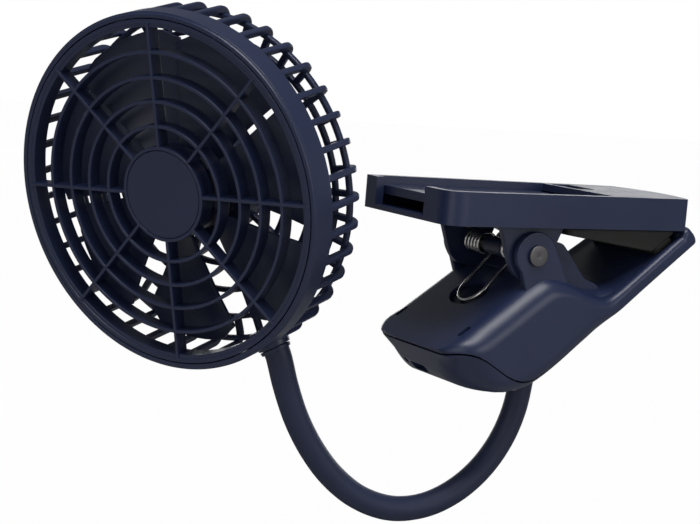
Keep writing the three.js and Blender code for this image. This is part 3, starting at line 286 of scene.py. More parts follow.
def spun(name, points, steps, rounding, axis="Z"):
    """A closed outline of radius and height, turned all the way round."""
    outline = softened(points, rounding) if rounding else points
    bm = bmesh.new()
    verts = [bm.verts.new((max(radius, 0), 0, height)) for radius, height in outline]
    edges = [bm.edges.new((verts[i - 1], vert)) for i, vert in enumerate(verts)]
    whole = 2 * math.pi
    geometry = verts + edges
    bmesh.ops.spin(bm, geom=geometry, cent=(0, 0, 0), axis=(0, 0, 1), angle=whole, steps=steps, use_merge=True)
    tidy(bm)
    if axis == "Y":
        bm.transform(Matrix.Rotation(-90 * DEG, 4, "X"))
    return new_object(name, bm)


def prism(name, outline, low, high, axis="Z"):
    """An outline drawn out along an axis: x and y along Z, x and z along Y, y and z along X."""
    bm = bmesh.new()
    face = bm.faces.new([bm.verts.new((a, b, low)) for a, b in outline])
    made = bmesh.ops.extrude_face_region(bm, geom=[face])
    tops = [part for part in made["geom"] if isinstance(part, bmesh.types.BMVert)]
    bmesh.ops.translate(bm, verts=tops, vec=(0, 0, high - low))
    if axis == "Y":
        bm.transform(Matrix(((1, 0, 0, 0), (0, 0, 1, 0), (0, 1, 0, 0), (0, 0, 0, 1))))
    if axis == "X":
        bm.transform(Matrix(((0, 0, 1, 0), (1, 0, 0, 0), (0, 1, 0, 0), (0, 0, 0, 1))))
    tidy(bm)
    return new_object(name, bm)


def block(name, low, high):
    bm = bmesh.new()
    bmesh.ops.create_cube(bm, size=1)
    size = Vector(high) - Vector(low)
    bmesh.ops.scale(bm, verts=bm.verts, vec=size)
    bmesh.ops.translate(bm, verts=bm.verts, vec=(Vector(low) + Vector(high)) / 2)
    return new_object(name, bm)


def rod(name, radius, low, high, centre=(0, 0), axis="Z", steps=48):
    angles = [2 * math.pi * k / steps for k in range(steps)]
    outline = [(centre[0] + radius * math.cos(a), centre[1] + radius * math.sin(a)) for a in angles]
    return prism(name, outline, low, high, axis)


def arc(centre, radius, start, end, steps):
    """Points on an arc, angles in degrees."""
    return [
        (centre[0] + radius * math.cos((start + (end - start) * k / steps) * DEG),
         centre[1] + radius * math.sin((start + (end - start) * k / steps) * DEG))
        for k in range(steps + 1)
    ]


def bowed(first, middle, last, steps):
    """Points on a curve drawn towards its middle point."""
    a, b, c = Vector(first), Vector(middle), Vector(last)
    shares = [k / steps for k in range(steps + 1)]
    return [tuple(a * (1 - t) ** 2 + b * 2 * t * (1 - t) + c * t ** 2) for t in shares]


def repeated(name, piece, count, start=0, keep=lambda i: True):
    """Copies of a piece round the z axis, as one piece."""
    bm = bmesh.new()
    for i in range(count):
        if keep(i):
            copy = bmesh.new()
            copy.from_mesh(piece.data)
            copy.transform(Matrix.Rotation(start + 2 * math.pi * i / count, 4, "Z"))
            mesh = bpy.data.meshes.new("copy")
            copy.to_mesh(mesh)
            copy.free()
            bm.from_mesh(mesh)
            bpy.data.meshes.remove(mesh)
    drop(piece)
    return new_object(name, bm)


def smooth_at(points, x):
    """Height of a smooth line through points, at x."""
    if x <= points[0][0]:
        return points[0][1]
    for i in range(len(points) - 1):
        (x0, y0), (x1, y1) = points[i], points[i + 1]
        if x <= x1:
            before = points[max(i - 1, 0)]
            after = points[min(i + 2, len(points) - 1)]
            slope0 = (y1 - before[1]) / max(x1 - before[0], 1e-6)
            slope1 = (after[1] - y0) / max(after[0] - x0, 1e-6)
            t = (x - x0) / (x1 - x0)
            h = x1 - x0
            return (
                (2 * t ** 3 - 3 * t ** 2 + 1) * y0 + (t ** 3 - 2 * t ** 2 + t) * h * slope0
                + (3 * t ** 2 - 2 * t ** 3) * y1 + (t ** 3 - t ** 2) * h * slope1
            )
    return points[-1][1]


def ease(x, low, high):
    """A share that goes smoothly from 0 at low to 1 at high."""
    t = min(max((x - low) / (high - low), 0), 1)
    return t * t * (3 - 2 * t)


# ---------------------------------------------------------------- shader maths
class Sock:
    """A value in a node tree, with the operators of numbers."""

    def __init__(self, nodes, socket):
        self.nodes, self.socket = nodes, socket

    def maths(self, operation, *others):
        inputs = dict(enumerate((self, *others)))
        return self.nodes.node("ShaderNodeMath", {"operation": operation}, inputs)

    def __add__(self, other):
        return self.maths("ADD", other)

    def __sub__(self, other):
        return self.maths("SUBTRACT", other)

    def __rsub__(self, other):
        return (self * -1) + other

    def __mul__(self, other):
        return self.maths("MULTIPLY", other)

    __radd__, __rmul__ = __add__, __mul__


def with_alpha(colour):
    return colour if isinstance(colour, Sock) else (*colour, 1)


class Nodes:
    """The nodes of one material or world."""

    def __init__(self, tree):
        self.tree = tree

    def feed(self, socket, value):
        if isinstance(value, Sock):
            self.tree.links.new(value.socket, socket)
        else:
            socket.default_value = value

    def node(self, kind, settings, inputs, output=0):
        made = self.tree.nodes.new(kind)
        for key, value in settings.items():
            setattr(made, key, value)
        for key, value in inputs.items():
            self.feed(made.inputs[key], value)
        return Sock(self, made.outputs[output])

    def light_path(self, ray):
        return self.node("ShaderNodeLightPath", {}, {}, ray)


class Paint(Nodes):
    """One material and the nodes that make it."""

    def __init__(self, name):
        self.material = bpy.data.materials.new(name)
        self.material.use_nodes = True
        super().__init__(self.material.node_tree)
        self.shader = self.tree.nodes["Principled BSDF"]
        self.place = self.node("ShaderNodeTexCoord", {}, {}, "Object")

    def noise(self, scale, detail, roughness, place=None):
        inputs = {"Vector": place or self.place, "Scale": scale, "Detail": detail, "Roughness": roughness}
        return self.node("ShaderNodeTexNoise", {}, inputs)

    def stretched(self, scale):
        return self.node("ShaderNodeMapping", {}, {"Vector": self.place, "Scale": scale})

    def mix(self, share, first, second):
        factor_input, first_input, second_input, colour_output = 0, 6, 7, 2
        inputs = {factor_input: share, first_input: with_alpha(first), second_input: with_alpha(second)}
        return self.node("ShaderNodeMix", {"data_type": "RGBA"}, inputs, colour_output)

    def ramp(self, value, low, high):
        inputs = {"Value": value, "From Min": low, "From Max": high}
        return self.node("ShaderNodeMapRange", {"clamp": True}, inputs)

    def bump(self, height, strength, distance):
        inputs = {"Height": height, "Strength": strength, "Distance": distance}
        return self.node("ShaderNodeBump", {}, inputs)

    def set(self, **values):
        for key, value in values.items():
            whole = with_alpha(value) if isinstance(value, tuple) else value
            self.feed(self.shader.inputs[key.replace("_", " ")], whole)
        return self.material


def linear(red, green, blue):
    """A colour written as on a screen, 0 to 255, as the light it gives."""
    def one(value):
        value /= 255
        return value / 12.92 if value <= 0.04045 else ((value + 0.055) / 1.055) ** 2.4
    return tuple(one(value) for value in (red, green, blue))


def shade(colour, share):
    return tuple(value * share for value in colour)


def moulded(name, colour, rough, grain=0.12):
    """Moulded plastic: fine grain, faint flow in the colour, and smears that change its sheen."""
    paint = Paint(name)
    flow = paint.noise(28, 3, 0.6)
    grains = paint.noise(2600, 2, 0.6)
    smear = paint.noise(75, 4, 0.65)
    speck = paint.ramp(paint.noise(900, 1, 0.5), 0.68, 0.8)
    base = paint.mix(paint.ramp(flow, 0.3, 0.7), shade(colour, 0.93), shade(colour, 1.07))
    base = paint.mix(speck * 0.06, base, shade(colour, 2.2))
    roughness = paint.ramp(smear, 0.25, 0.75) * 0.07 + (rough - 0.035)
    height = grains * 0.8 + smear * 0.2
    return paint.set(Base_Color=base, Roughness=roughness, Normal=paint.bump(height, grain, 0.0001))


def silicone(name, colour):
    """Soft sleeve: matt, with a fine skin and cloudy colour."""
    paint = Paint(name)
    cloud = paint.noise(60, 4, 0.6)
    skin = paint.noise(1800, 2, 0.6)
    base = paint.mix(paint.ramp(cloud, 0.3, 0.7), shade(colour, 0.9), shade(colour, 1.1))
    roughness = paint.ramp(cloud, 0.2, 0.8) * 0.1 + 0.5
    return paint.set(Base_Color=base, Roughness=roughness, Normal=paint.bump(skin, 0.12, 0.0001))


def rubber(name, colour):
    """Matt rubber with a coarse skin."""
    paint = Paint(name)
    cloud = paint.noise(50, 4, 0.6)
    skin = paint.noise(1500, 3, 0.7)
    base = paint.mix(paint.ramp(cloud, 0.3, 0.7), shade(colour, 0.8), shade(colour, 1.25))
    roughness = paint.ramp(cloud, 0.2, 0.8) * 0.15 + 0.5
    return paint.set(Base_Color=base, Roughness=roughness, Normal=paint.bump(skin, 0.25, 0.00012))


def metal(name, colour, rough, stretch=(900, 900, 900), depth=0.06):
    """Drawn or brushed metal: fine lines along the way it was worked, and slight tarnish."""
    paint = Paint(name)
    lines = paint.noise(1, 3, 0.7, paint.stretched(stretch))
    tarnish = paint.noise(160, 4, 0.6)
    base = paint.mix(paint.ramp(tarnish, 0.35, 0.75), colour, shade(colour, 0.82))
    roughness = paint.ramp(tarnish, 0.3, 0.8) * 0.12 + rough + lines * 0.05
    normal = paint.bump(lines, depth, 0.0001)
    return paint.set(Base_Color=base, Metallic=1.0, Roughness=roughness, Normal=normal)


def foil(name, colour, rough, metallic):
    """A thin skin with slight wrinkles, its colour darker in their hollows as painted shade: pouch foil, board
    mask or a clear window.
    """
    paint = Paint(name)
    wrinkle_and_shade = paint.noise(240, 4, 0.6)
    # painted shade: the colour darkens where the wrinkles are low
    base = paint.mix(paint.ramp(wrinkle_and_shade, 0.3, 0.7), shade(colour, 0.85), colour)
    roughness = paint.ramp(wrinkle_and_shade, 0.3, 0.7) * 0.1 + rough
    normal = paint.bump(wrinkle_and_shade, 0.2, 0.0002)
    return paint.set(Base_Color=base, Metallic=metallic, Roughness=roughness, Normal=normal)


NAVY = linear(35, 44, 74)
navy = moulded("navy_plastic", NAVY, 0.36)
navy_guard = moulded("navy_guard_plastic", shade(NAVY, 0.97), 0.38, 0.08)
# the same navy plastic at 0.8 of its colour: painted shade for the rotor and the spacer bush, which sit deep in
# the cage and between the spring's coils
navy_painted_shade = moulded("navy_plastic_painted_shade", shade(NAVY, 0.8), 0.4, 0.08)
sleeve = silicone("navy_silicone", shade(NAVY, 0.95))
pad_rubber = rubber("olive_black_rubber", linear(26, 27, 24))
nickel = metal("nickel_wire", (0.74, 0.73, 0.71), 0.14)
brushed = metal("brushed_pin_head", (0.17, 0.165, 0.17), 0.3, (1400, 1400, 160), 0.1)
bronze = metal("sintered_bronze", (0.6, 0.42, 0.2), 0.3)
board_mask = foil("board_mask", linear(22, 84, 48), 0.4, 0.0)
pouch = foil("pouch_foil", (0.5, 0.52, 0.55), 0.3, 0.9)
lens = foil("lamp_lens", (0.82, 0.86, 0.88), 0.15, 0.0)


# ---------------------------------------------------------------- fan head: cage and guard
def ring(name, inner, outer, front, back, rounding, steps=160):
    return spun(name, rectangle((inner, front), (outer, back)), steps, rounding)


def cage_rib(inner):
    """One rib: straight back from the band, round the corner and in towards the cup."""
    corner, thick, width = 5, 2.4, 2
    far, start = BAND_RADIUS - 0.2, BAND_DEPTH - 1
    bend = (far - corner, CAGE_DEPTH - corner)
    outline = [(far, start)] + arc(bend, corner, 0, 90, 8)
    outline += [(inner, CAGE_DEPTH), (inner, CAGE_DEPTH - thick)]
    outline += arc(bend, corner - thick, 90, 0, 8) + [(far - thick, start)]
    return bevelled(prism("rib", outline, -width / 2, width / 2, "Y"), 0.55, 3, 30)


def cage_hoop(name, inner, width, front, back, steps):
    return ring(name, inner, inner + width, front, back, 0.6, steps)


def motor_cup():
    """The cup that holds the motor, open to the back, with a hole for its bearing."""
    top, wall = CAGE_DEPTH - CUP_DEPTH, 1.8
    cup = spun("cup", [
        (0, top), (CUP_RADIUS, top), (CUP_RADIUS, CAGE_DEPTH), (CUP_RADIUS - wall, CAGE_DEPTH),
        (CUP_RADIUS - wall, top + wall), (0, top + wall),
    ], 96, 0.4)
    return cut(cup, rod("bearing_hole", 2.9, top - 1, top + 3))


def socket_place():
    """The frame of the neck's socket, its z axis away from the head's axis."""
    across = Vector((0, 0, 1)).cross(socket_out)
    turn = Matrix((across, Vector((0, 0, 1)), socket_out)).transposed().to_4x4()
    return Matrix.Translation((0, 0, SOCKET_DEPTH)) @ turn


def make_cage():
    band_inner = 55
    band = spun("band", [
        (band_inner, 0), (56.2, 0), (56.5, 0.5), (BAND_RADIUS, 0.6), (BAND_RADIUS, BAND_DEPTH),
        (band_inner, BAND_DEPTH),
    ], 200, 0.3)
    every = RIBS // LONG_RIBS
    short = repeated("short_ribs", cage_rib(HOOP_RADII[0] + 0.6), RIBS, 0, lambda i: i % every)
    long = repeated("long_ribs", cage_rib(CUP_RADIUS - 0.8), RIBS, 0, lambda i: i % every == 0)
    hoops = [cage_hoop("hoop", radius, 1.7, CAGE_DEPTH - 2.4, CAGE_DEPTH - 0.3, 120) for radius in HOOP_RADII]
    hoops.append(cage_hoop("corner_hoop", BAND_RADIUS - 4.4, 1.8, 23.2, 25.2, 160))
    bore, foot = 4.6, 51.5
    boss = spun("boss", [(bore, foot), (6.2, foot), (5.4, SOCKET_BOSS), (bore, SOCKET_BOSS)], 48, 0.4)
    moved(boss, socket_place())
    cage = merged("cage_grille", band, short, long, *hoops, motor_cup(), boss)
    settle(cage, HEAD, "head", navy, ["rear_cage"])
    bore, start, end = 4.55, SOCKET_BOSS + 0.3, SOCKET_BOSS + 1.5
    collar = spun("neck_collar", [(bore, start), (5.2, start), (4.9, end), (bore, end)], 48, 0.35)
    settle(moved(collar, socket_place()), HEAD, "head", navy, ["neck_ferrule_head"])


def make_guard():
    back = 6
    rim = spun("rim", [
        (RIM_INNER, 0.3), (RIM_INNER + 1.2, 0.3), (RIM_INNER + 1.3, 0), (RIM_OUTER, 0), (RIM_OUTER, back),
        (RIM_INNER, back),
    ], 200, 0.2)
    half = RING_WIDTH / 2
    rings = [ring("ring", radius - half, radius + half, 0, GUARD_DEPTH, 0.3) for radius in GUARD_RINGS]
    lip = HUB_RADIUS - 1.1
    hub = spun("hub", [
        (0, 0.5), (lip, 0.5), (lip, 0), (HUB_RADIUS, 0), (HUB_RADIUS, back), (0, back),
    ], 120, 0.25)
    start, reach, proud = HUB_RADIUS - 0.5, RIM_OUTER - 0.9, 0.12
    spoke = bevelled(block("spoke", (start, -half, -proud), (reach, half, GUARD_DEPTH - 0.2)), 0.3)
    spokes = repeated("spokes", spoke, SPOKES, (90 - HEAD_ROLL) * DEG)
    guard = merged("guard_grille", rim, *rings, hub, spokes)
    settle(guard, HEAD, "head", navy_guard, ["front_guard"])
    cap = spun("hub_disc", rectangle((0, 0.05), (HUB_RADIUS - 1.3, 1.4)), 120, 0.3)
    settle(cap, HEAD, "head", navy_guard, ["hub_cap"])


def make_motor_back():
    back, button_radius = CAGE_DEPTH + 2.3, 6
    inner = (button_radius + 0.3, CAGE_DEPTH + SEAT_GAP)
    cover = spun("back_cover", rectangle(inner, (CUP_RADIUS, back)), 96, 0.7)
    settle(cover, HEAD, "head", navy, ["motor_cover"])
    front, face, flange = CAGE_DEPTH - 1.6, back + 1.6, button_radius + 1.2
    button = spun("push_button", [
        (0, front), (flange, front), (flange, CAGE_DEPTH), (button_radius, CAGE_DEPTH), (button_radius, face),
        (3.6, face), (2.4, face - 0.35), (0, face - 0.45),
    ], 64, 0.5)
    settle(button, HEAD, "button", navy, ["power_button"])


def blade_sheet():
    """One blade, as a thin sheet that rises along the axis from its leading to its trailing edge."""
    rise, middle, twist, camber, thick = 9.5, 12.2, 0.35, 1.6, 1.2
    spans, chords = 14, 14
    inner = ROTOR_HUB - 0.6
    bm = bmesh.new()
    bmesh.ops.create_grid(bm, x_segments=spans, y_segments=chords, size=0.5)
    for vert in bm.verts:
        span, chord = vert.co.x + 0.5, vert.co.y
        tip_round = 3.2 * ease(abs(chord) * 2, 0.62, 1) * ease(span, 0.5, 1)
        radius = inner + (BLADE_TIP - inner) * span - tip_round
        angle = BLADE_CHORD * DEG * chord * (1 - 0.12 * (1 - span))
        height = middle + rise * (1 - twist * span) * chord - camber * (0.25 - chord * chord)
        vert.co = Vector((radius * math.cos(angle), radius * math.sin(angle), height))
    bmesh.ops.recalc_face_normals(bm, faces=bm.faces)
    bmesh.ops.solidify(bm, geom=bm.faces, thickness=thick)
    bmesh.ops.translate(bm, verts=bm.verts, vec=(0, 0, thick / 2))
    return bevelled(new_object("blade", bm), 0.35, 2, 50)


def make_rotor():
    back, wall, bore = ROTOR_FRONT + ROTOR_DEPTH - 2.4, 1.6, 1.1
    hub = spun("rotor_hub", [
        (bore, ROTOR_FRONT), (ROTOR_HUB, ROTOR_FRONT), (ROTOR_HUB, back), (ROTOR_HUB - wall, back),
        (ROTOR_HUB - wall, ROTOR_FRONT + wall), (bore, ROTOR_FRONT + wall),
    ], 96, 0.8)
    first = (BLADE_TURN + 180 / BLADES) * DEG
    blades = repeated("blades", blade_sheet(), BLADES, first)
    rotor = merged("fan_rotor", hub, blades)
    # the rotor takes the navy darkened as painted shade
    settle(rotor, HEAD, "rotor", navy_painted_shade, ["impeller"])


# ---------------------------------------------------------------- lever plate and panel
def plate_half(x):
    return PLATE_HANDLE_HALF + (PLATE_JAW_HALF - PLATE_HANDLE_HALF) * x / PLATE_LENGTH


def plate_outline(inset, start, end, bow, corner):
    """The plate's outline drawn in by an inset, its near handle corner the wide one."""
    tip = max(JAW_CORNER - inset, 0.5)

    def half(x):
        return plate_half(x) - inset

    near, inside = start + corner, end - tip
    points = bowed((start, corner - half(start)), (start, -half(start)), (near, -half(near)), 12)
    points += bowed((inside, -half(inside)), (end, -half(end)), (end, tip - half(end)), 5)
    if bow:
        points += bowed((end, tip - half(end)), (end + 2 * bow, 0), (end, half(end) - tip), 16)[1:-1]
    points += bowed((end, half(end) - tip), (end, half(end)), (inside, half(inside)), 5)
    far = max(min(corner, FAR_CORNER - inset), 0.6)
    points += bowed((start + far, half(start + far)), (start, half(start)), (start, half(start) - far), 6)
    return points


def make_plate():
    plate = prism("plate_tray", plate_outline(0, 0, PLATE_LENGTH, PLATE_BOW, HANDLE_CORNER), 0, PLATE_HEIGHT)
    pocket_shape = plate_outline(PLATE_WALL, PLATE_WALL, POCKET_END, 0, HANDLE_CORNER - PLATE_WALL)
    pocket = prism("pocket", pocket_shape, PLATE_FLOOR, PLATE_HEIGHT + 1)
    hollow_shape = plate_outline(PLATE_WALL, POCKET_END - 1, PLATE_LENGTH - PLATE_WALL, PLATE_BOW, 1)
    hollow = prism("hollow", hollow_shape, PLATE_FLOOR, PLATE_HEIGHT - PLATE_ROOF)
    notch = block("notch", (-1, NOTCH[0], PLATE_FLOOR), (PLATE_WALL + 1, NOTCH[1], PLATE_HEIGHT + 1))
    above = PLATE_HEIGHT + 1
    thumb = prism("thumb", softened(rectangle(*THUMB_RECESS), 1.5, 4), PLATE_HEIGHT - 1.6, above)
    start, end = PLATE_HAIRLINE
    hairline = block("hairline", (*start, PLATE_HEIGHT - 0.35), (*end, above))
    cut(plate, pocket, hollow, notch, thumb, hairline)
    bevelled(plate, 0.5, 3, 50)
    ears = []
    root_near, root_far, sunk = 24.8, 50.2, 0.4
    outline = arc((PIN.x, PIN.z), EAR_RADIUS, 205, 375, 32) + [(root_far, sunk), (root_near, sunk)]
    for side in (-1, 1):
        low, high = sorted((side * EAR_IN, side * EAR_OUT))
        ear = prism("ear", outline, low, high, "Y")
        cut(ear, rod("pin_hole", PIN_HOLE, low - 1, high + 1, (PIN.x, PIN.z), "Y"))
        ears.append(bevelled(ear, 0.35, 2, 50))
    plate = merged("plate_tray", plate, *ears)
    settle(plate, PLATE, "lever", navy, ["lever_plate"])


def make_panel():
    free = PLATE_WALL + RUN_GAP
    outline = plate_outline(free, free, PANEL_HINGE_X, 0, HANDLE_CORNER - PLATE_WALL)
    panel = prism("panel_slab", outline, PANEL_TOP - PANEL_THICK, PANEL_TOP)
    groove = prism("groove", softened(rectangle(*PANEL_GROOVE), 0.5, 3), PANEL_TOP - 0.8, PANEL_TOP + 1)

    def step_shape(inset):
        near, far, wide, narrow = 14 + inset, 60 - inset, 17 - inset, 15 - inset
        return [(near, -wide), (far, -narrow), (far, narrow), (near, wide)]

    step = cut(
        prism("step", softened(step_shape(0), 2.5, 5), PANEL_TOP - 0.35, PANEL_TOP + 1),
        prism("island", softened(step_shape(0.5), 2.2, 5), PANEL_TOP - 1, PANEL_TOP + 2),
    )
    cut(panel, groove, step)
    bevelled(panel, 0.6, 3, 50)
    half = plate_half(PANEL_HINGE_X) - PLATE_WALL - RUN_GAP
    radius = PANEL_THICK / 2
    axis_z = PANEL_TOP - radius
    barrel = spun("barrel", rectangle((radius - 0.1, -half), (radius, half)), 32, 0, "Y")
    moved(barrel, Matrix.Translation((PANEL_HINGE_X, 0, axis_z)))
    panel = merged("panel_leaf", panel, barrel)
    settle(panel, PLATE, "panel", navy, ["fold_out_panel"])


# ---------------------------------------------------------------- jaw pads
def on_plate(along, above):
    """Where a place on the body, from the pin, lies in the plate's frame."""
    angle = BODY_ANGLE * DEG
    x = PIN.x + along * math.cos(angle) - above * math.sin(angle)
    return x, PIN.z + along * math.sin(angle) + above * math.cos(angle)


def wedge_pad(face):
    """The pad under the plate: thin at the throat, deepest where it meets the arm's pad."""
    slope = math.tan(BODY_ANGLE * DEG)
    start_x, start_z = on_plate(0, face + SEAT_GAP)
    throat, deepest, tip = 51, 87.5, 95.5
    nose, room = 2.6, 14
    touch = start_z + (deepest - start_x) * slope
    bm = bmesh.new()
    top = bm.faces.new([bm.verts.new((x, y, -SEAT_GAP)) for x, y in plate_outline(3, throat, tip + 1, 0, 4)])
    made = bmesh.ops.extrude_face_region(bm, geom=[top])
    lows = [part for part in made["geom"] if isinstance(part, bmesh.types.BMVert)]
    bmesh.ops.translate(bm, verts=lows, vec=(0, 0, -room))
    under = Vector((deepest - throat, 0, touch + nose))
    for place, along in (((throat, 0, -nose), under), ((deepest, 0, touch), Vector((1, 0, slope)))):
        normal = along.cross(Vector((0, 1, 0)))
        parts = bm.verts[:] + bm.edges[:] + bm.faces[:]
        result = bmesh.ops.bisect_plane(bm, geom=parts, plane_co=place, plane_no=normal, clear_inner=True)
        edges = [part for part in result["geom_cut"] if isinstance(part, bmesh.types.BMEdge)]
        bmesh.ops.contextual_create(bm, geom=edges)
    tidy(bm)
    return bevelled(new_object("upper_pad", bm), 0.6, 3, 25)


def make_pads():
    foot = ARM_TOP + SEAT_GAP
    face = foot + PAD_THICK
    settle(wedge_pad(face), PLATE, "lever", pad_rubber, ["upper_jaw_pad"])
    lower = prism("lower_pad", softened(rectangle(*LOWER_PAD), 2, 5), foot, face)
    groove_count, first, pitch, half_width, half_length = 4, 44.6, 1.6, 0.25, 16.5
    for i in range(groove_count):
        along = first + pitch * i
        low = (along - half_width, -half_length, face - 0.4)
        cut(lower, block("rib_groove", low, (along + half_width, half_length, face + 1)))
    bevelled(lower, 0.25, 2, 40)
    settle(lower, BODY, "root", pad_rubber, ["lower_jaw_pad"])


# ---------------------------------------------------------------- battery body
TOP_LINE = (
    (HANDLE_END, BODY_TOP - 0.3), (-40, BODY_TOP - 0.05), (-33.6, BODY_TOP), (-18, BODY_TOP),
    (-6, BODY_TOP), (-1.5, BODY_TOP - 0.7), (1.8, BODY_TOP - 2.9), (5.2, BODY_TOP - 6.4),
    (8.4, BODY_TOP - 11.2), (11.4, BODY_TOP - 16.4), (14.6, BODY_TOP - 20.6), (18.4, ARM_TOP + 0.7),
    (23, ARM_TOP), (ARM_TIP, ARM_TOP),
)
BOTTOM_LINE = (
    (HANDLE_END, BODY_BOTTOM + 20.5), (-42.4, BODY_BOTTOM + 15), (-38, BODY_BOTTOM + 8.5),
    (-30, BODY_BOTTOM + 2.5), (-20, BODY_BOTTOM), (2, BODY_BOTTOM + 0.5), (14, ARM_BOTTOM - 1.2),
    (ARM_TIP, ARM_BOTTOM - 1),
)
SIDE_LINE = (
    (HANDLE_END, BODY_HALF), (-15, BODY_HALF - 0.3), (8, BODY_HALF - 1.2), (30, ARM_HALF + 2.6),
    (ARM_TIP, ARM_HALF),
)


def drawn_in(radius, past):
    """How far a round corner lies inside its square one, at a distance past the corner's start."""
    return radius - math.sqrt(max(radius ** 2 - max(past, 0) ** 2, 0))


def tip_rounding(x):
    return drawn_in(TIP_CORNER, x - ARM_TIP + TIP_CORNER)


def body_half(x):
    return smooth_at(SIDE_LINE, x) - drawn_in(BODY_CORNER, HANDLE_END + BODY_CORNER - x) - tip_rounding(x)


def body_section(x, inset):
    """One cross-section of the body, at a place along it."""
    half = body_half(x) - inset
    top = smooth_at(TOP_LINE, x) - inset - tip_rounding(x) * 0.6
    bottom = smooth_at(BOTTOM_LINE, x) + inset + tip_rounding(x) * 0.6
    hook = 2.4 * ease(x, ARM_TIP - 5.6, ARM_TIP - 3.4)
    top += hook * (1 - ease(x, ARM_TIP - 1.6, ARM_TIP))
    thick = max(top - bottom, 0.5)
    most = min(thick * 0.46, half * 0.5)
    radius = min(TOP_CORNER - (TOP_CORNER - ARM_TOP_CORNER) * ease(x, 6, 26) - inset, most)
    radius *= 0.55 + 0.45 * ease(x, HANDLE_END, HANDLE_END + 12)
    low = min(BASE_CORNER - (BASE_CORNER - ARM_BASE_CORNER) * ease(x, 4, 20) - inset, most)
    tuck = 6 * (1 - ease(x, HANDLE_END - 3, HANDLE_END + 10))
    crown, bead = 0, 0
    if not inset:
        crown = 4.2 * ease(x, 2, 10) * (1 - ease(x, 15, 27))
        bead = 1.1 * ease(x, 13, 22) * (1 - ease(x, ARM_TIP - 6, ARM_TIP - 3.5))
    edge = half - radius
    flat = edge - 2.4
    right = arc((half - low - tuck, bottom + low), low, -90, 0, 7)
    right += arc((edge, top + bead - radius), radius, 0, 90, 10)
    right += [(edge - 1.2, top + bead * 0.55), (flat, top + bead * 0.1)]
    right += [(flat * share, top + crown * (1 - share ** 5)) for share in (0.94, 0.85, 0.7, 0.5, 0.25)]
    return right + [(0, top + crown)] + [(-y, z) for y, z in reversed(right)]


def body_stations(start, end):
    """Places of the cross-sections, close together at the ends."""
    inside = 0.001
    fine = [start + inside + t for t in (0, 0.35, 0.8, 1.4, 2.2, 3.2, 4.4, 6, 8, 10.5)]
    tail = [end - inside - t for t in (0, 0.3, 0.7, 1.2, 1.8, 2.5, 3.1, 3.7, 4.4, 5.2, 6, 8)]
    first, last = fine[-1], min(tail)
    count = 56
    middle = [first + (last - first) * k / count for k in range(1, count)]
    return fine + middle + tail[::-1]


def body_loft(name, inset=0, start=HANDLE_END, end=ARM_TIP):
    """The body's whole form, drawn in by an inset, with its ends bowed."""
    bm = bmesh.new()
    stations = body_stations(start, end)
    first = [bm.verts.new((stations[0], *place)) for place in body_section(stations[0], inset)]
    face = bm.faces.new(first)
    for x in stations[1:]:
        face = bmesh.ops.extrude_discrete_faces(bm, faces=[face])["faces"][0]
        for vert, (y, z) in zip(face.verts, body_section(x, inset)):
            vert.co = (x, y, z)
    bm.faces.new(first)
    for vert in bm.verts:
        share = (vert.co.y / BODY_HALF) ** 2
        vert.co.x += BODY_BOW * (share - 1) * (1 - ease(vert.co.x, HANDLE_END, -24))
        vert.co.x += ARM_BOW * (1 - share) * ease(vert.co.x, ARM_TIP - 10, ARM_TIP)
    bmesh.ops.recalc_face_normals(bm, faces=bm.faces)
    return new_object(name, bm)


SEAM = (
    (-50, -8.7), (-44, -8.9), (-40.5, -10.4), (-37.6, -13), (-35.2, -16.6), (-33.2, -21.2), (-31.4, -25.4),
    (-29, -29.2), (-26, -32), (-22.4, -33.6), (-18, -34.2), (-10, -34.3), (62, -34.3),
)


def seam_prism(name, lowered, far):
    """Everything on one side of the split between the two shells."""
    low, high = SEAM[0][0], SEAM[-1][0]
    count = 120
    xs = [low + (high - low) * k / count for k in range(count + 1)]
    line = [(x, smooth_at(SEAM, x) - lowered) for x in xs]
    return prism(name, line + [(high, far), (low, far)], -40, 40, "Y")


def body_ear(side):
    low, high = sorted((side * BODY_EAR[0], side * BODY_EAR[1]))
    back = -BODY_EAR_RADIUS
    outline = arc((0, 0), BODY_EAR_RADIUS, -6, 192, 44)
    outline += [(back - 1.7, BODY_TOP - 1.5), (back, BODY_TOP - 3), (5.4, BODY_TOP - 9.5)]
    ear = prism("body_ear", outline, low, high, "Y")
    cut(ear, rod("pin_hole", PIN_HOLE, low - 1, high + 1, (0, 0), "Y"))
    return bevelled(ear, 0.45, 3, 50)


def throat_hump():
    """The raised part of the shell between its ears, behind the spring."""
    half_width = 17
    crest = [(-3, -7.2), (2, -6.4), (6, -5), (10, -3.8), (12.4, -3.9), (13.9, -6), (14.4, -10), (14.8, -16)]
    sunk = [(15.2, -21), (18, -25), (19, -29), (6, -20), (-3, -8.6)]
    outline = softened(crest + sunk, 3, 5)
    return bevelled(prism("throat_hump", outline, -half_width, half_width, "Y"), 2.4, 4, 60)


def ear_slot(name, side):
    """The room that one of the lever's ears turns in."""
    low, high = sorted((side * EAR_SLOT[0], side * EAR_SLOT[1]))
    return rod(name, EAR_RADIUS + RUN_GAP, low, high, (0, 0), "Y", 64)


def slot_pocket(side):
    """The wall inside the shell that closes off an ear's slot."""
    radius, margin = 11.2, 4
    low, high = sorted((side * (EAR_SLOT[0] - 1.2), side * (EAR_SLOT[1] + 1.4)))
    cup = cut(rod("slot_cup", radius, low, high, (0, 0), "Y", 64), ear_slot("slot_room", side))
    low, high = sorted((side * EAR_SLOT[0], side * EAR_SLOT[1]))
    top = block("slot_top", (-14, low - margin, BODY_TOP - 1.6), (14, high + margin, 20))
    ramp = [(1.2, -8), (12.4, -8), (12.4, -13), (7, -13)]
    return cut(cup, top, prism("slot_front", ramp, low - margin, high + margin, "Y"))


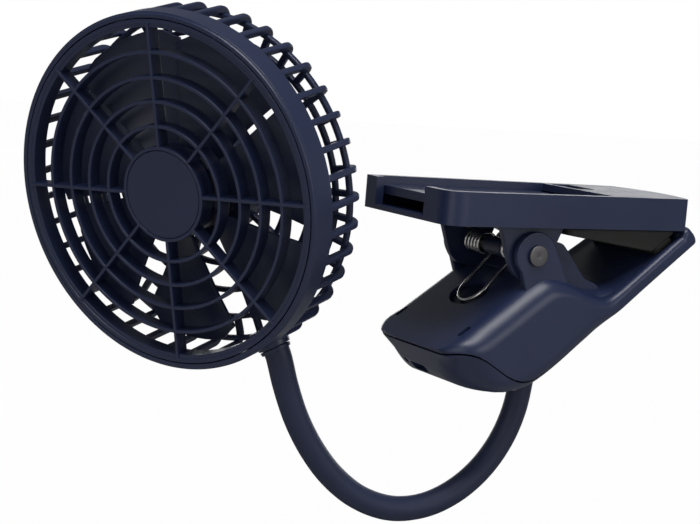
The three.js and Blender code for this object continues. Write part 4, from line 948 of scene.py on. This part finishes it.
def spring_dish(name, stretch_x, stretch_y, shift, low, high):
    """The oval that the spring's loop lies in, as a solid."""
    steps = 64
    half_x, half_y = DISH_LENGTH / 2, DISH_WIDTH / 2
    oval = []
    for k in range(steps):
        angle = 2 * math.pi * k / steps
        x = DISH_X + half_x * math.cos(angle)
        oval.append((x * stretch_x + shift, half_y * math.sin(angle) * stretch_y))
    return prism(name, oval, low, high)


def vent(side):
    x, y = VENT_PLACE[0], side * VENT_PLACE[1]
    half_x, half_y = VENT_SIZE[0] / 2, VENT_SIZE[1] / 2
    shape = softened(rectangle((x - half_x, y - half_y), (x + half_x, y + half_y)), 0.7, 4)
    return prism("vent", shape, BODY_TOP - 3.4, BODY_TOP + 1)


def vent_floor(side):
    y, half = side * VENT_PLACE[1], 1.8
    return block("vent_floor", (-37.5, y - half, BODY_TOP - 3.6), (-31, y + half, BODY_TOP - 2.6))


def make_upper_shell():
    sides = (-1, 1)
    shell = common(body_loft("shell_top"), seam_prism("above", 0, 60))
    cavity = body_loft("cavity", BODY_WALL, HANDLE_END + BODY_WALL, CAVITY_END)
    slots = [ear_slot("ear_slot", side) for side in sides]
    cut(shell, cavity)
    cut(shell, *slots)
    dish_floor = BODY_TOP - DISH_DEPTH
    dish = spring_dish("recess", 1, 1, 0, dish_floor, BODY_TOP + 2)
    cut(shell, dish, *[vent(side) for side in sides])
    bevelled(shell, 0.3, 2, 42)
    floor = spring_dish("recess_floor", 1.02, 1.03, 0.35, dish_floor - 1.1, dish_floor)
    floors = [vent_floor(side) for side in sides]
    pockets = [slot_pocket(side) for side in sides]
    shell = merged("shell_top", shell, floor, *floors, *pockets, body_ear(-1), body_ear(1), throat_hump())
    settle(shell, BODY, "root", navy, ["upper_shell"])


def make_bottom_cover():
    cover = common(body_loft("shell_base", 0.35), seam_prism("below", 0.8, -60))
    cut(cover, body_loft("cavity", BODY_WALL, HANDLE_END + BODY_WALL, CAVITY_END))
    mouth_x, mouth_z = NECK_ROUTE[0]
    neck_place = BODY_MM.inverted() @ PLATE_MM @ Matrix.Translation((mouth_x, 0, mouth_z))
    bore = moved(rod("neck_bore", NECK_RADIUS + RUN_GAP, -30, 6, (0, 0), "Z", 64), neck_place)
    outside, inside = HANDLE_END - 4, HANDLE_END + 6
    port_shape = [(y, z + PORT_MIDDLE) for y, z in softened(rectangle(*PORT), 1.5, 5)]
    port = prism("port", port_shape, outside, inside, "X")
    lamp = rod("lamp_hole", 1.2, outside, inside, (10.5, PORT_MIDDLE + 1.6), "X", 32)
    low, high = BODY_BOTTOM - 5, BODY_BOTTOM + 3.4
    holes = [rod("screw_hole", 2.7, low, high, place, "Z", 40) for place in COVER_SCREWS]
    cut(cover, port, lamp, bore)
    cut(cover, *holes)
    bevelled(cover, 0.3, 2, 42)
    settle(cover, BODY, "root", navy, ["bottom_cover"])


# ---------------------------------------------------------------- hinge pin and spring
def make_pin():
    face, shank, radius = BODY_EAR[1] + SEAT_GAP, 2, PIN_HEAD_RADIUS
    head_end = -face - PIN_HEAD_THICK
    pin = spun("hinge_rivet", [
        (0, head_end), (radius, head_end), (radius, -face), (shank, -face), (shank, face + 1.6), (0, face + 1.6),
    ], 72, 0.3, "Y")
    settle(pin, BODY, "root", brushed, ["hinge_pin"])
    end, bore = face + 1.9, PIN_HOLE
    outside = end + PIN_HEAD_THICK
    cap = spun("rivet_cap", [
        (bore, face), (radius, face), (radius, outside), (0, outside), (0, end), (bore, end),
    ], 72, 0.35, "Y")
    settle(cap, BODY, "root", brushed, ["pin_cap"])
    half = COIL_INNER - WIRE_RADIUS - RUN_GAP
    bush = spun("spacer_bush", rectangle((bore, -half), (3.2, half)), 64, 0.3, "Y")
    # the bush takes the navy darkened as painted shade
    settle(bush, BODY, "root", navy_painted_shade, ["pin_bush"])


def tube(name, points, radius, sides):
    """A round wire or sleeve along points, closed at both ends."""
    data = bpy.data.curves.new(name, "CURVE")
    data.dimensions, data.bevel_depth, data.use_fill_caps = "3D", radius, True
    data.bevel_resolution = sides // 4 - 1
    spline = data.splines.new("POLY")
    spline.points.add(len(points) - 1)
    for slot_point, place in zip(spline.points, points):
        slot_point.co = (*place, 1)
    holder = bpy.data.objects.new(name, data)
    scene.collection.objects.link(holder)
    graph = bpy.context.evaluated_depsgraph_get()
    mesh = bpy.data.meshes.new_from_object(holder.evaluated_get(graph))
    drop(holder)
    bm = bmesh.new()
    bm.from_mesh(mesh)
    bmesh.ops.remove_doubles(bm, verts=bm.verts, dist=1e-5)
    return new_object(name, bm)


def on_body(x, z):
    """Where a place in the plate's frame lies on the body, from the pin."""
    angle = BODY_ANGLE * DEG
    dx, dz = x - PIN.x, z - PIN.z
    return dx * math.cos(angle) + dz * math.sin(angle), -dx * math.sin(angle) + dz * math.cos(angle)


def tangent_angle(x, z, side):
    """Where on the coil a straight wire to a place leaves it."""
    return math.atan2(z, x) + side * math.acos(COIL_RADIUS / math.hypot(x, z))


def make_spring():
    loop_z = BODY_TOP - DISH_DEPTH + SEAT_GAP + WIRE_RADIUS
    leg = on_body(SPRING_LEG_END, -SEAT_GAP - WIRE_RADIUS)
    start = tangent_angle(SPRING_LOOP_END, loop_z, 1)
    sweep = tangent_angle(*leg, -1) - start + 2 * math.pi * COIL_TURNS
    coil_start = Vector((COIL_RADIUS * math.cos(start), COIL_INNER, COIL_RADIUS * math.sin(start)))
    slope = (coil_start.z - loop_z) / (coil_start.x - SPRING_LOOP_END)
    per_turn, arc_steps = 28, 14

    def coil(angle_from, angle_to):
        steps = max(2, round(per_turn * (angle_to - angle_from) / (2 * math.pi)))
        out = []
        for k in range(steps + 1):
            turned = angle_from + (angle_to - angle_from) * k / steps
            angle = start + turned
            y = COIL_INNER + COIL_PITCH * turned / (2 * math.pi)
            out.append(Vector((COIL_RADIUS * math.cos(angle), y, COIL_RADIUS * math.sin(angle))))
        return out

    loop = []
    for k in range(arc_steps + 1):
        angle = k / arc_steps * math.pi / 2
        x = SPRING_LOOP_END + COIL_INNER * (1 - math.cos(angle))
        loop.append(Vector((x, COIL_INNER * math.sin(angle), loop_z + slope * (x - SPRING_LOOP_END))))
    last_turn = sweep - 2 * math.pi
    half = loop + coil(0, last_turn)
    mirror = [Vector((p.x, -p.y, p.z)) for p in reversed(half[1:])]
    middle = tube("spring_coils", mirror + half, WIRE_RADIUS, 16)
    settle(middle, BODY, "root", nickel, ["torsion_spring"])
    outer = coil(last_turn, sweep)
    outer.append(Vector((leg[0], outer[-1].y, leg[1])))
    for side, name in ((1, "spring_leg_far"), (-1, "spring_leg_near")):
        piece = tube(name, [Vector((p.x, side * p.y, p.z)) for p in outer], WIRE_RADIUS, 16)
        settle(piece, BODY, "lever", nickel)


# ---------------------------------------------------------------- neck
def catmull_rom(points, per_span=24):
    """A smooth line through points, its knots spaced by the root of their distance."""
    ends = [2 * points[0] - points[1]] + list(points) + [2 * points[-1] - points[-2]]
    out = []
    for i in range(1, len(ends) - 2):
        p0, p1, p2, p3 = ends[i - 1:i + 3]
        gaps = [max((b - a).length ** 0.5, 1e-4) for a, b in ((p0, p1), (p1, p2), (p2, p3))]
        m1 = ((p1 - p0) / gaps[0] - (p2 - p0) / (gaps[0] + gaps[1]) + (p2 - p1) / gaps[1]) * gaps[1]
        m2 = ((p2 - p1) / gaps[1] - (p3 - p1) / (gaps[1] + gaps[2]) + (p3 - p2) / gaps[2]) * gaps[1]
        for k in range(per_span):
            t = k / per_span
            out.append(
                (2 * t ** 3 - 3 * t ** 2 + 1) * p1 + (t ** 3 - 2 * t ** 2 + t) * m1
                + (3 * t ** 2 - 2 * t ** 3) * p2 + (t ** 3 - t ** 2) * m2
            )
    return out + [points[-1]]


def neck_line():
    """The neck's middle line in the plate's frame, from the body's cover into the head's socket."""
    places = [Vector((x, 0, z)) for x, z in NECK_ROUTE]
    turn = PLATE_MM.inverted() @ HEAD_MM
    mouth = SOCKET_BOSS + 1.5  # where the collar ends
    for radius in (mouth + 1, (mouth + SLEEVE_END) / 2, SLEEVE_END):
        places.append(turn @ (Vector((0, 0, SOCKET_DEPTH)) + socket_out * radius))
    return catmull_rom(places)


def stretch(line, low, high, steps):
    """Evenly spaced points on part of a line, given as shares of its length."""
    lengths = [0]
    for a, b in zip(line, line[1:]):
        lengths.append(lengths[-1] + (b - a).length)
    out = []
    for k in range(steps + 1):
        want = lengths[-1] * (low + (high - low) * k / steps)
        i = next((i for i, length in enumerate(lengths[1:]) if length >= want - 1e-6), len(line) - 2)
        share = (want - lengths[i]) / (lengths[i + 1] - lengths[i])
        out.append(line[i].lerp(line[i + 1], min(max(share, 0), 1)))
    return out


def make_neck():
    """The sleeve in parts that meet at the middle of each link, so that none crosses more than one joint."""
    line = neck_line()
    chain = ["root", "neck_2", "neck_3", "neck_4", "neck_5", "head"]
    bounds = [0] + [(i + 0.5) / NECK_LINKS for i in range(NECK_LINKS)] + [1]
    for i, (low, high) in enumerate(zip(bounds, bounds[1:])):
        points = stretch(line, low, high, 10 if i in (0, NECK_LINKS) else 26)
        piece = tube(f"sleeve_part_{i + 1}", points, NECK_RADIUS, 32)
        node = f"neck_sleeve_{min(i + 1, NECK_LINKS)}"
        crossing = 0 < i < NECK_LINKS
        body = None if crossing else chain[min(i, NECK_LINKS - 1)]
        settle(piece, PLATE, body, sleeve, [node])
        if crossing:
            chain[i - 1]
            PLATE @ points[0]
            PLATE @ points[-1]
            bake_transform(piece)


# ---------------------------------------------------------------- pieces kept from the frame
def dress_nodes():
    finishes = {
        nickel: ["usb_socket", "motor_can", "motor_shaft", "panel_pin", "neck_ferrule_clip"],
        bronze: ["motor_bearing"],
        board_mask: ["circuit_board", "motor_board"],
        pouch: ["battery_cell"],
        lens: ["led_window"],
    }
    finishes[nickel] += [f"cover_screw_{i}" for i in range(1, 5)] + [f"motor_screw_{i}" for i in range(1, 4)]
    for material, nodes in finishes.items():
        for node in nodes:
            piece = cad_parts[node]
            piece.data.materials.clear()
            piece.data.materials.append(material)


make_cage()
make_guard()
make_motor_back()
make_rotor()
make_plate()
make_panel()
make_pads()
make_upper_shell()
make_bottom_cover()
make_pin()
make_spring()
make_neck()
dress_nodes()


# ---------------------------------------------------------------- light, floor and background
def area_light(name, place, target, size, power):
    data = bpy.data.lights.new(name, "AREA")
    data.shape, data.energy = "RECTANGLE", power
    data.size, data.size_y = size
    lamp = bpy.data.objects.new(name, data)
    scene.collection.objects.link(lamp)
    lamp.location = place
    lamp.rotation_euler = (Vector(target) - Vector(place)).to_track_quat("-Z", "Y").to_euler()


def white_to_camera(nodes, dim, share):
    """Strength of a sky that is dim as a light, white to the camera, and a share of white in reflections."""
    reflected = nodes.light_path("Is Glossy Ray").maths("MAXIMUM", nodes.light_path("Is Transmission Ray"))
    return nodes.light_path("Is Camera Ray").maths("MAXIMUM", reflected * share).maths("MAXIMUM", dim)


def floor_material():
    """Grey to the light, so that it keeps a shadow, and nearly white to the camera."""
    paint = Paint("pale_floor")
    paint.set(Base_Color=(0.4, 0.4, 0.4), Roughness=0.9)
    glow = paint.node("ShaderNodeEmission", {}, {"Strength": 1})
    share = paint.light_path("Is Camera Ray") * 0.985
    surface = Sock(paint, paint.shader.outputs[0])
    blend = paint.node("ShaderNodeMixShader", {}, {0: share, 1: surface, 2: glow})
    paint.feed(paint.tree.nodes["Material Output"].inputs["Surface"], blend)
    return paint.material


def make_stage():
    world = bpy.data.worlds.new("studio")
    world.use_nodes = True
    scene.world = world
    sky = world.node_tree.nodes["Background"]
    sky.inputs["Color"].default_value = (1, 1, 1, 1)
    nodes = Nodes(world.node_tree)
    nodes.feed(sky.inputs["Strength"], white_to_camera(nodes, 0.17, 0.08))
    bm = bmesh.new()
    bmesh.ops.create_grid(bm, x_segments=1, y_segments=1, size=3)
    floor = new_object("floor", bm)
    floor.location.z = cad_bounds[0][2] - 0.002
    floor.data.materials.append(floor_material())
    area_light("top_box", (-0.2, -0.42, 1.0), (-0.06, 0, 0), (0.7, 0.5), 8.5)
    area_light("front_box", (-1.2, -0.8, 0.3), (-0.1, 0, 0), (1.1, 1.0), 3.4)
    area_light("side_box", (0.45, -1.2, 0.3), (-0.05, 0, 0), (0.6, 0.5), 2.4)
    area_light("back_wall", (0.85, 1.3, 0.1), (-0.08, 0, 0.05), (2.6, 0.4), 9)


make_stage()
scene.view_settings.view_transform = "Standard"
